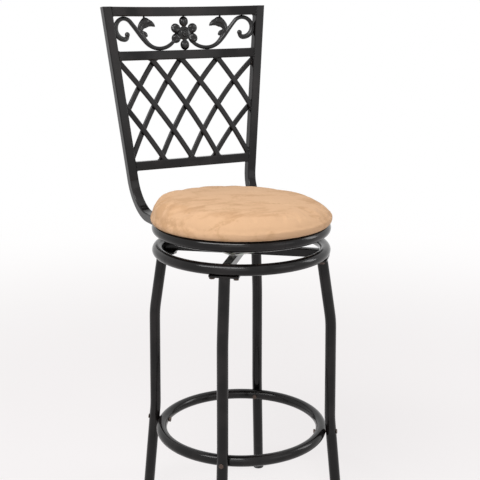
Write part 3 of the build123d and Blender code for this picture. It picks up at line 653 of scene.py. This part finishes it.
# Settling: where the lean comes in, folds round the lower edge, waves over the pad, and the seat on the board
STILL_EDGE = 8 * MM
FULL_CROWN = 12 * MM
FOLD_BAND = (0.9, 0.97)
BROAD_FOLDS = 26.0
FINE_FOLDS = 61.0
FINE_FOLD_SHARE = 0.6
FINE_FOLD_SHIFT = Vector((9.0, 0.0, 0.0))
WAVES = 14.0
WAVE_OUT = 0.5 * MM
WAVE_UP = 1.0 * MM
LEFT_FILL_START = 0.5
UNDERSIDE_SHARE = 0.93
UNDERSIDE_DEPTH = 2 * MM
BOARD_GAP = 0.4 * MM
EDGE_WRAP = 6 * MM


def ease(value, low, high):
    """Smooth step from 0 to 1."""
    share = min(1.0, max(0.0, (value - low) / (high - low)))
    return share * share * (3 - 2 * share)


def cushion_form(settings):
    """Turned pad, a little undersize: flat below, rolled lower edge, full side and a low crown."""
    inset = settings.undersize
    side = settings.radius - inset
    bottom = settings.ring_top + inset
    crown = settings.crown - inset
    height = crown - bottom
    shape = bmesh.new()
    points = [
        shape.verts.new((AXIS_X + side * out, AXIS_Y, bottom + up * height)) for out, up in CUSHION_OUTLINE
    ]
    edges = [shape.edges.new(pair) for pair in zip(points, points[1:])]
    bmesh.ops.spin(
        shape, geom=points + edges, cent=(AXIS_X, AXIS_Y, 0.0), axis=(0.0, 0.0, 1.0), angle=math.tau,
        steps=CUSHION_STEPS, use_merge=True,
    )
    bmesh.ops.remove_doubles(shape, verts=shape.verts, dist=0.01 * MM)
    bmesh.ops.recalc_face_normals(shape, faces=shape.faces)
    return shape


def fill_with_foam(piece, settings):
    """Swell the pad as cloth under pressure, its underside held down."""
    start = [vertex.co.copy() for vertex in piece.data.vertices]
    held = piece.vertex_groups.new(name="held")
    for vertex in piece.data.vertices:
        out = math.hypot(vertex.co.x - AXIS_X, vertex.co.y - AXIS_Y)
        low = vertex.co.z < settings.ring_top + 2 * settings.undersize
        if low and out < settings.radius * HELD_SHARE:
            held.add([vertex.index], 1.0, "REPLACE")
    cloth = piece.modifiers.new("fill", "CLOTH").settings
    cloth.quality = CLOTH_QUALITY
    cloth.mass = CLOTH_MASS
    cloth.use_pressure = True
    cloth.uniform_pressure_force = settings.pressure
    cloth.vertex_group_mass = held.name
    cloth.effector_weights.gravity = 0.0
    scene = bpy.context.scene
    for step in range(1, settings.frames + 1):
        scene.frame_set(step)
    bake_modifiers(piece)
    scene.frame_set(1)
    for vertex, was in zip(piece.data.vertices, start):
        moved = vertex.co - was
        if moved.length > settings.swell:
            vertex.co = was + moved * (settings.swell / moved.length)
    piece.vertex_groups.clear()


def settle_cushion(piece, settings, heading):
    """Bring the filled pad to size, seat it round the board, and give it its lean and small folds."""
    points = [vertex.co for vertex in piece.data.vertices]
    widest = max(math.hypot(p.x - AXIS_X, p.y - AXIS_Y) for p in points)
    highest = max(p.z for p in points)
    lowest = min(p.z for p in points)
    across = settings.radius / widest
    lift = (settings.crown - settings.ring_top) / (highest - lowest)
    view_right = Vector((math.cos(heading), -math.sin(heading), 0.0))
    slope = math.tan(settings.lean)
    roll_z = settings.ring_top - settings.tuck + settings.roll

    def lower_edge(z):
        """Radius of the rolled edge that wraps the board."""
        drop = max(0.0, roll_z - z)
        return settings.radius - settings.roll + math.sqrt(max(0.0, settings.roll**2 - drop**2))

    def settled(point):
        arm = Vector((point.x - AXIS_X, point.y - AXIS_Y, 0.0)) * across
        z = settings.ring_top + (point.z - lowest) * lift
        out = arm.length
        upper = ease(z, settings.ring_top + STILL_EDGE, settings.crown - FULL_CROWN)
        bearing = math.atan2(arm.y, arm.x)
        round_place = Vector((math.cos(bearing), math.sin(bearing), 0.0))
        fold = noise.noise(round_place * BROAD_FOLDS)
        fold += FINE_FOLD_SHARE * noise.noise(round_place * FINE_FOLDS + FINE_FOLD_SHIFT)
        low_edge = ease(out, settings.radius * FOLD_BAND[0], settings.radius * FOLD_BAND[1]) * (1 - upper)
        soft = noise.noise(arm * WAVES + Vector((0.0, 0.0, z * WAVES)))
        if out > 0:
            arm *= 1 + (settings.gathers * fold * low_edge + WAVE_OUT * soft * upper) / out
        left = -arm.dot(view_right)
        z += upper * (WAVE_UP * soft + slope * left)
        z += upper * settings.left_fill * ease(left, settings.radius * LEFT_FILL_START, settings.radius)
        if out < settings.radius * UNDERSIDE_SHARE and z < settings.board_top - UNDERSIDE_DEPTH:
            z = settings.board_top + BOARD_GAP
        elif z < settings.board_top + EDGE_WRAP and arm.length < lower_edge(z):
            arm *= lower_edge(z) / arm.length
        return Vector((AXIS_X + arm.x, AXIS_Y + arm.y, z))

    each_point(piece, settled)


class STOOL_OT_cushion(bpy.types.Operator):
    """Make the upholstered seat: a pad filled by cloth simulation, seated round its board"""

    bl_idname = "stool.cushion"
    bl_label = "Cushion"

    def execute(self, context):
        settings = context.scene.stool.cushion
        piece = new_piece("seat_cushion", "seat", "seat_fabric", cushion_form(settings))
        fuse(piece, settings.voxel)
        fill_with_foam(piece, settings)
        settle_cushion(piece, settings, context.scene.stool.studio.heading)
        piece.data.shade_smooth()
        finer = piece.modifiers.new("finer", "SUBSURF")
        finer.levels = 1
        finer.render_levels = 1
        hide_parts("seat_cover", "seat_foam")
        return {"FINISHED"}


# Cast frieze: lumps are laid out flat in metres, x along the rails from the centre line, y up from the
# frieze's middle and z to the front, then fused and bent onto the rails

SKIN_SMOOTHING = 2
SECTION_SIDES = 24
SECTION_SQUARENESS = 0.6
BEND_STEP = 0.09
STRAIGHT_STEP = 3 * MM
FEWEST_STEPS = 4
FLUTE_PLACE = 0.42
FLUTE_SPREAD = 0.16
PIN_RADIUS = 2.6 * MM

# Widths and depths along the bars: shares of the length and millimetres
STEM_WIDTH = (
    (0, 8), (0.05, 9.5), (0.22, 10), (0.38, 13), (0.52, 10), (0.68, 10), (0.86, 13), (0.95, 12), (1, 9),
)
STEM_DEPTH = ((0, 9), (0.1, 10), (0.9, 10), (1, 7))
LEAF_WIDTH = ((0, 13), (0.2, 19), (0.4, 24), (0.55, 22), (0.72, 16), (0.88, 10), (1, 3))
LEAF_DEPTH = ((0, 8), (0.4, 9.5), (0.8, 8), (1, 4))
VEIN_WIDTH = ((0, 3), (0.5, 3.4), (1, 1.5))
VEIN_DEPTH = ((0, 10), (0.5, 12.5), (1, 7))
HOOK_WIDTH = ((0, 12), (0.4, 12), (0.8, 9), (1, 5))
HOOK_DEPTH = ((0, 8), (0.5, 8.5), (1, 6))

# Scroll: depth of the flutes, the curl's last turn in quarters, and the half-widths of its end lumps
STEM_FLUTE = 1.1 * MM
TIP_QUARTERS = 1.15
CURL_BULB = (6.5 * MM, 6.5 * MM, 5.5 * MM)
TAIL_BALL = (5.0 * MM, 5.0 * MM, 5.0 * MM)

# Leaf: places from its root on the stem, bends of (radius, turn), and half-widths of its lumps
LEAF_START = (-6 * MM, 4 * MM)
LEAF_HEADING = math.radians(95)
LEAF_ARCH = ((19.5 * MM, math.radians(85)), (30 * MM, math.radians(45)))
LEAF_FLUTE = 0.7 * MM
LEAF_HEAD_PLACE = (-21 * MM, 24 * MM)
LEAF_HEAD = (13 * MM, 11 * MM, 5 * MM)
HOOK_START = (-13 * MM, -3 * MM)
HOOK_HEADING = math.radians(190)
HOOK_ARCH = ((12 * MM, math.radians(65)),)
HOOK_FLUTE = 0.6 * MM
LEAF_FOOT_PLACE = (-8 * MM, -2 * MM)
LEAF_FOOT = (9 * MM, 7 * MM, 4.5 * MM)
LEAF_PIN_PLACE = (-18 * MM, 20 * MM)

# Flower: places of the side petals, shares of a petal's radius, heights of the domes, and the beaded button
SIDE_PETAL = (22.5 * MM, 12 * MM)
PETAL_SHARES = (1.02, 0.96)
CHEEK_SHARES = (0.82, 0.50)
CHEEK_OFFSET = 0.40
PETAL_DOME = 6.0 * MM
CHEEK_DOME = 7.4 * MM
FLOWER_HEART = (17 * MM, 17 * MM, 5.0 * MM)
BUTTON_FRONT = 4.5 * MM
BUTTON = (8.6 * MM, 8.6 * MM, 3.4 * MM)
MIDDLE_BEAD_FRONT = 8.0 * MM
MIDDLE_BEAD = (2.6 * MM, 2.6 * MM, 2.2 * MM)
BEADS = 9
BEAD_RING = 6.6 * MM
BEAD_FRONT = 6.6 * MM
BEAD = (1.9 * MM, 1.9 * MM, 1.8 * MM)


class Casting:
    """Closed lumps gathered in one bmesh."""

    def __init__(self):
        self.shape = bmesh.new()

    def ball(self, x, y, z, radii, turn=0.0):
        """An egg of three half-widths, turned in the frieze's plane."""
        place = Matrix.Translation((x, y, z)) @ Matrix.Rotation(turn, 4, "Z") @ Matrix.Diagonal((*radii, 1.0))
        bmesh.ops.create_uvsphere(self.shape, u_segments=28, v_segments=16, radius=1.0, matrix=place)

    def peg(self, x, low, high, radius):
        """A short round pin up and down."""
        place = Matrix.Translation((x, (low + high) / 2, 0.0)) @ Matrix.Rotation(math.pi / 2, 4, "X")
        bmesh.ops.create_cone(
            self.shape, cap_ends=True, segments=16, radius1=radius, radius2=radius, depth=high - low,
            matrix=place,
        )

    def swept(self, start, heading, bends, width, depth, groove=0.0):
        """A bar that follows bends of (radius, turn) or (None, length).

        Width and depth are stations along its length, and groove is the depth of two flutes on each face.
        """
        across = Vector((-math.sin(heading), math.cos(heading), 0.0))
        along = Vector((math.cos(heading), math.sin(heading), 0.0))
        basis = Matrix((across, Vector((0.0, 0.0, 1.0)), along)).transposed().to_4x4()
        centre = Vector((*start, 0.0))
        place = Matrix.Translation(centre) @ basis
        first = bmesh.ops.create_circle(self.shape, segments=SECTION_SIDES, radius=1.0, matrix=place)["verts"]
        rings = [(list(first), centre.copy(), across.copy(), 0.0)]
        ends = [edge for edge in self.shape.edges if edge.verts[0] in first and edge.verts[1] in first]
        cap = list(ends)
        gone = 0.0
        for radius, amount in bends:
            steps = max(FEWEST_STEPS, round(abs(amount) / (BEND_STEP if radius else STRAIGHT_STEP)))
            for _ in range(steps):
                grown = bmesh.ops.extrude_edge_only(self.shape, edges=ends)["geom"]
                verts = [part for part in grown if isinstance(part, bmesh.types.BMVert)]
                ends = [
                    part for part in grown
                    if isinstance(part, bmesh.types.BMEdge) and all(vert in verts for vert in part.verts)
                ]
                if radius:
                    turn = Matrix.Rotation(amount / steps, 3, "Z")
                    pivot = centre + across * math.copysign(radius, amount)
                    bmesh.ops.rotate(self.shape, verts=verts, cent=pivot, matrix=turn)
                    centre = pivot + turn @ (centre - pivot)
                    across = turn @ across
                    along = turn @ along
                    gone += abs(amount) / steps * radius
                else:
                    bmesh.ops.translate(self.shape, verts=verts, vec=along * (amount / steps))
                    centre = centre + along * (amount / steps)
                    gone += amount / steps
                rings.append((verts, centre.copy(), across.copy(), gone))
        for edges in (cap, ends):
            bmesh.ops.contextual_create(self.shape, geom=edges)
        for verts, middle, side, at in rings:
            share = at / gone
            half_width, half_depth = station(width, share) / 2, station(depth, share) / 2
            for vert in verts:
                off = vert.co - middle
                u, v = off.dot(side), off.z
                flute = groove * sum(
                    math.exp(-((u - place) / FLUTE_SPREAD) ** 2) for place in (FLUTE_PLACE, -FLUTE_PLACE)
                )
                v = math.copysign(abs(v) ** SECTION_SQUARENESS, v) * half_depth
                v -= math.copysign(min(abs(v), flute), v)
                vert.co = middle + side * (u * half_width) + Vector((0.0, 0.0, v))
        return centre


def station(stations, share):
    """Size at a share of a bar's length, eased between its stations."""
    for (s0, w0), (s1, w1) in zip(stations, stations[1:]):
        if share <= s1:
            return (w0 + (w1 - w0) * ease(share, s0, s1)) * MM
    return stations[-1][1] * MM


def cast_piece(name, node, casting, back, frieze, side):
    """Fuse a casting's lumps, smooth the skin and bend it onto the rails in place of its CAD node."""
    shape = casting.shape
    if side < 0:
        bmesh.ops.scale(shape, vec=(-1.0, 1.0, 1.0), verts=shape.verts)
    bmesh.ops.recalc_face_normals(shape, faces=shape.faces)
    piece = new_piece(name, "seat", "cast_ornament", shape)
    fuse(piece, frieze.voxel)
    skin = bmesh.new()
    skin.from_mesh(piece.data)
    for _ in range(SKIN_SMOOTHING):
        bmesh.ops.smooth_vert(
            skin, verts=skin.verts, factor=0.5, use_axis_x=True, use_axis_y=True, use_axis_z=True
        )
    skin.to_mesh(piece.data)
    skin.free()
    middle, reach = back.frieze_middle(), back.frieze_reach()
    each_point(piece, lambda p: back.bent(p.x, middle + min(reach, max(-reach, p.y)), p.z))
    piece.data.shade_smooth()
    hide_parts(node)


def scroll_casting(back, frieze):
    """Right-hand scroll: fluted stem from its tail to its curl, the leaf, its hook and the pin above it."""
    middle, reach = back.frieze_middle(), back.frieze_reach()
    edge = frieze.stem_width / 2
    arcs = frieze.dip_radius + frieze.loop_radius
    straight = (2 * (reach - edge) - arcs * (1 - math.cos(frieze.rise))) / math.sin(frieze.rise)
    clear = back.inner_half(middle + reach - edge - frieze.loop_radius)
    loop_out = back.bend * math.asin(clear / back.bend) - edge
    dip_x = loop_out - frieze.loop_radius - arcs * math.sin(frieze.rise) - straight * math.cos(frieze.rise)
    low = edge - reach
    tail_x = dip_x - frieze.tail_radius * math.sin(frieze.tail_turn)
    tail_y = low + frieze.tail_radius * (1 - math.cos(frieze.tail_turn))
    quarter = math.pi / 2
    bends = [
        (frieze.tail_radius, frieze.tail_turn),
        (frieze.dip_radius, frieze.rise),
        (None, straight),
        (frieze.loop_radius, -frieze.rise - quarter),
        (frieze.curl_radius, -quarter),
        (frieze.tip_radius, -quarter * TIP_QUARTERS),
    ]
    casting = Casting()
    tip = casting.swept((tail_x, tail_y), -frieze.tail_turn, bends, STEM_WIDTH, STEM_DEPTH, STEM_FLUTE)
    casting.ball(tip.x, tip.y, 0.0, CURL_BULB)
    casting.ball(tail_x, tail_y, 0.0, TAIL_BALL)
    root_x = dip_x + frieze.dip_radius * math.sin(frieze.rise) + straight / 2 * math.cos(frieze.rise)
    root_y = low + frieze.dip_radius * (1 - math.cos(frieze.rise)) + straight / 2 * math.sin(frieze.rise)
    leaf(casting, root_x, root_y)
    casting.peg(root_x + LEAF_PIN_PLACE[0], root_y + LEAF_PIN_PLACE[1], reach, PIN_RADIUS)
    return casting


def leaf(casting, root_x, root_y):
    """Curled leaf: a neck that arches into a round, pointed head, a vein on it, and a hook under it."""

    def at(place):
        return root_x + place[0], root_y + place[1]

    casting.swept(at(LEAF_START), LEAF_HEADING, LEAF_ARCH, LEAF_WIDTH, LEAF_DEPTH, LEAF_FLUTE)
    casting.ball(*at(LEAF_HEAD_PLACE), 0.0, LEAF_HEAD)
    casting.swept(at(LEAF_START), LEAF_HEADING, LEAF_ARCH, VEIN_WIDTH, VEIN_DEPTH)
    casting.swept(at(HOOK_START), HOOK_HEADING, HOOK_ARCH, HOOK_WIDTH, HOOK_DEPTH, HOOK_FLUTE)
    casting.ball(*at(LEAF_FOOT_PLACE), 0.0, LEAF_FOOT)


def flower_casting(back, frieze):
    """Six domed petals with a crease each, round a beaded button, pinned to both rails."""
    reach = back.frieze_reach()
    casting = Casting()
    x0 = frieze.flower_drift
    petal = frieze.petal
    places = [(0.0, frieze.petal_reach), (0.0, -frieze.petal_reach)]
    places += [(x * SIDE_PETAL[0], y * SIDE_PETAL[1]) for x in (-1, 1) for y in (-1, 1)]
    for x, y in places:
        angle = math.atan2(y, x)
        casting.ball(x0 + x, y, 0.0, (petal * PETAL_SHARES[0], petal * PETAL_SHARES[1], PETAL_DOME), angle)
        across = Vector((-math.sin(angle), math.cos(angle)))
        for side in (-1, 1):
            cheek = Vector((x, y)) + across * (side * petal * CHEEK_OFFSET)
            radii = (petal * CHEEK_SHARES[0], petal * CHEEK_SHARES[1], CHEEK_DOME)
            casting.ball(x0 + cheek.x, cheek.y, 0.0, radii, angle)
    casting.ball(x0, 0.0, 0.0, FLOWER_HEART)
    for face in (-1, 1):
        casting.ball(x0, 0.0, face * BUTTON_FRONT, BUTTON)
        casting.ball(x0, 0.0, face * MIDDLE_BEAD_FRONT, MIDDLE_BEAD)
        for i in range(BEADS):
            turn = math.tau * i / BEADS
            casting.ball(
                x0 + BEAD_RING * math.cos(turn), BEAD_RING * math.sin(turn), face * BEAD_FRONT, BEAD
            )
    casting.peg(x0, -reach, reach, PIN_RADIUS)
    return casting


class STOOL_OT_frieze(bpy.types.Operator):
    """Make the castings between the upper rails: a flower and a scroll with a leaf on each side"""

    bl_idname = "stool.frieze"
    bl_label = "Frieze"

    def execute(self, context):
        back, frieze = context.scene.stool.back, context.scene.stool.frieze
        cast_piece("flower_casting", "frieze_flower", flower_casting(back, frieze), back, frieze, 1)
        for end, side in (("left", -1), ("right", 1)):
            scroll = scroll_casting(back, frieze)
            cast_piece(f"scroll_casting_{end}", f"frieze_scroll_{end}", scroll, back, frieze, side)
        return {"FINISHED"}


# Weld beads

# How near to a plane a bar's end lies, and the unevenness of the drops
WELD_GAP = 0.4 * MM
DROP_UNEVENNESS = 0.22
DROP_GRAIN = 900.0


def end_outline(node, point, normal):
    """Outer outline of a node's face in a plane, as a ring of world points, or none."""
    corners = [vertex.co for vertex in frame["nodes"][node].data.vertices]
    touching = [co for co in corners if abs((co - point).dot(normal)) < WELD_GAP]
    if len(touching) < 4:
        return []
    side = normal.orthogonal().normalized()
    rise = normal.cross(side)
    flat = [((co - point).dot(side), (co - point).dot(rise)) for co in touching]
    return [touching[i] for i in geometry.convex_hull_2d(flat)]


def lay_bead(shape, outline, welds):
    """A row of overlapping drops round an outline."""
    for start, end in zip(outline, outline[1:] + outline[:1]):
        count = max(1, round((end - start).length / welds.pitch))
        for i in range(count):
            at = start.lerp(end, i / count)
            size = welds.bead * (1 + DROP_UNEVENNESS * noise.noise(at * DROP_GRAIN))
            at.z = min(at.z, CAD_BOX[1][2] - size)
            bmesh.ops.create_icosphere(shape, subdivisions=1, radius=size, matrix=Matrix.Translation(at))


class STOOL_OT_welds(bpy.types.Operator):
    """Lay weld beads where bars, rails and legs end on what carries them"""

    bl_idname = "stool.welds"
    bl_label = "Welds"

    def execute(self, context):
        back, welds = context.scene.stool.back, context.scene.stool.welds
        up, front = back.up_axis(), back.front_axis()
        half = back.tube / 2
        planes = [
            (back.point(0.0, back.lower_rail + half, 0.0), up),
            (back.point(0.0, back.middle_rail - half, 0.0), up),
        ]
        for side in (-1, 1):
            low = back.point(side * back.inner_half(back.lower_rail), back.lower_rail, 0.0)
            top = back.point(side * back.inner_half(back.top_rail), back.top_rail, 0.0)
            planes.append((low, (top - low).cross(front).normalized()))
        shape = bmesh.new()
        for node in frame["nodes"]:
            if node.startswith("lattice_"):
                ends = planes
            elif node.startswith("back_") and node.endswith("_rail"):
                ends = planes[2:]
            else:
                continue
            for point, normal in ends:
                lay_bead(shape, end_outline(node, point, normal), welds)
        new_piece("back_welds", "seat", "frame_paint", shape)
        shape = bmesh.new()
        for node in frame["nodes"]:
            if node.startswith("leg_plate_"):
                under = Vector((0.0, 0.0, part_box(node)[0][2]))
                leg = node.replace("leg_plate_", "leg_")
                lay_bead(shape, end_outline(leg, under, Vector((0.0, 0.0, 1.0))), welds)
        new_piece("leg_welds", "base", "frame_paint", shape)
        return {"FINISHED"}


# Studio

# Softboxes: place and target from the foot of the swivel axis, width and height, and power
STOOL_MIDDLE = (0.0, 0.0, 0.7)
SOFTBOXES = {
    "overhead_softbox": ((0.25, 0.55, 2.6), STOOL_MIDDLE, (2.2, 2.2), 5.0),
    "left_softbox": ((-1.14, -0.59, 2.25), (-0.2, 0.42, 0.7), (1.7, 0.55), 31.0),
    "right_softbox": ((1.75, -0.60, 1.45), STOOL_MIDDLE, (0.5, 0.9), 8.0),
    "front_left_softbox": ((-1.5, -2.3, 1.9), STOOL_MIDDLE, (1.4, 1.4), 7.0),
    "front_right_softbox": ((1.15, -2.25, 1.55), STOOL_MIDDLE, (1.2, 1.2), 3.5),
}

# Surround and floor: tints, and distances over which the floor fades into the surround
SURROUND_TINT = (1.0, 0.99, 0.985, 1.0)
FLOOR_TINT = (1.0, 0.972, 0.972, 1.0)
SHADOW_REACH = 0.6
GLOW_FULL = 3.0
GLOW_NEAR = 0.7
TINT_GONE = 4.0


class STOOL_OT_studio(bpy.types.Operator):
    """Set the floor, the lights, the white surround and the camera"""

    bl_idname = "stool.studio"
    bl_label = "Studio"

    def execute(self, context):
        scene = context.scene
        studio = scene.stool.studio
        scene.view_settings.view_transform = "Standard"
        self.surround(scene, studio)
        self.floor(scene, studio)
        for name, (place, target, size, power) in SOFTBOXES.items():
            self.softbox(scene, name, place, target, size, power)
        self.camera(scene, studio)
        return {"FINISHED"}

    def surround(self, scene, studio):
        scene.world = bpy.data.worlds.new("white_surround")
        bench = Bench(scene.world)
        white = bench.node("ShaderNodeBackground", None, {"Color": WHITE, "Strength": 1.0})
        soft = bench.node("ShaderNodeBackground", None, {"Color": SURROUND_TINT, "Strength": studio.ambient})
        both = bench.node("ShaderNodeMixShader", None, {0: bench.seen_directly(), 1: soft, 2: white})
        bench.put(bench.tree.nodes["World Output"].inputs["Surface"], both)

    def floor(self, scene, studio):
        shape = bmesh.new()
        bmesh.ops.create_circle(
            shape, cap_ends=True, segments=128, radius=studio.floor_reach,
            matrix=Matrix.Translation((AXIS_X, AXIS_Y, 0.0)),
        )
        mesh = bpy.data.meshes.new("studio_floor")
        shape.to_mesh(mesh)
        shape.free()
        floor = bpy.data.objects.new("studio_floor", mesh)
        scene.collection.objects.link(floor)
        finish = Finish("studio_floor")
        far = finish.node("ShaderNodeVectorMath", {"operation": "LENGTH"}, {0: finish.place}, output="Value")
        fade = finish.step(far, SHADOW_REACH, GLOW_FULL, GLOW_NEAR, 1.0) * finish.seen_directly()
        finish.surface(Base_Color=opaque(studio.floor), Roughness=0.9, Specular_IOR_Level=0.1)
        tint = finish.mix(finish.step(far, SHADOW_REACH, TINT_GONE), FLOOR_TINT, WHITE)
        glow = finish.node("ShaderNodeEmission", None, {"Color": tint, "Strength": 1.0})
        bare = Wire(finish, finish.shader.outputs[0])
        both = finish.node("ShaderNodeMixShader", None, {0: fade, 1: bare, 2: glow})
        finish.put(finish.tree.nodes["Material Output"].inputs["Surface"], both)
        mesh.materials.append(finish.owner)

    def softbox(self, scene, name, place, target, size, power):
        """An area light turned from one place to another, both from the foot of the swivel axis."""
        lamp = bpy.data.lights.new(name, "AREA")
        lamp.shape = "RECTANGLE"
        lamp.size, lamp.size_y = size
        lamp.energy = power
        box = bpy.data.objects.new(name, lamp)
        scene.collection.objects.link(box)
        box.location = (AXIS_X + place[0], AXIS_Y + place[1], place[2])
        aim = Vector(target) - Vector(place)
        box.rotation_euler = aim.to_track_quat("-Z", "Y").to_euler()
        box.visible_camera = False

    def camera(self, scene, studio):
        lens = bpy.data.cameras.new("camera")
        lens.lens = studio.lens
        lens.sensor_width = 36.0
        camera = bpy.data.objects.new("camera", lens)
        scene.collection.objects.link(camera)
        camera.location = Vector(studio.camera) + Vector((AXIS_X, AXIS_Y, 0.0))
        level = math.cos(studio.pitch)
        aim = Vector((
            math.sin(studio.heading) * level, math.cos(studio.heading) * level, -math.sin(studio.pitch)
        ))
        camera.rotation_euler = aim.to_track_quat("-Z", "Y").to_euler()
        scene.camera = camera


class STOOL_PT_sidebar(bpy.types.Panel):
    """Lists the stool's pieces and settings"""

    bl_idname = "STOOL_PT_sidebar"
    bl_label = "Swivel bar stool"
    bl_space_type = "VIEW_3D"
    bl_region_type = "UI"
    bl_category = "Stool"

    def draw(self, context):
        for operator in OPERATORS:
            self.layout.operator(operator.bl_idname)
        settings = context.scene.stool
        for group in ("finishes", "cushion", "back", "frieze", "welds", "studio"):
            box = self.layout.box()
            box.label(text=group.capitalize())
            values = getattr(settings, group)
            for name in values.bl_rna.properties.keys():
                if name not in ("rna_type", "name"):
                    box.prop(values, name)


GROUPS = (StoolFinishes, StoolCushion, StoolBack, StoolFrieze, StoolWelds, StoolStudio, StoolSettings)
OPERATORS = (STOOL_OT_studio, STOOL_OT_finishes, STOOL_OT_cushion, STOOL_OT_frieze, STOOL_OT_welds)
CLASSES = (*GROUPS, *OPERATORS, STOOL_PT_sidebar)


def register():
    for made in CLASSES:
        bpy.utils.register_class(made)
    bpy.types.Scene.stool = PointerProperty(type=StoolSettings)


def unregister():
    del bpy.types.Scene.stool
    for made in reversed(CLASSES):
        bpy.utils.unregister_class(made)


def main():
    register()
    bpy.ops.stool.studio()
    bpy.ops.stool.finishes()
    bpy.ops.stool.cushion()
    bpy.ops.stool.frieze()
    bpy.ops.stool.welds()


if __name__ == "__main__":
    main()
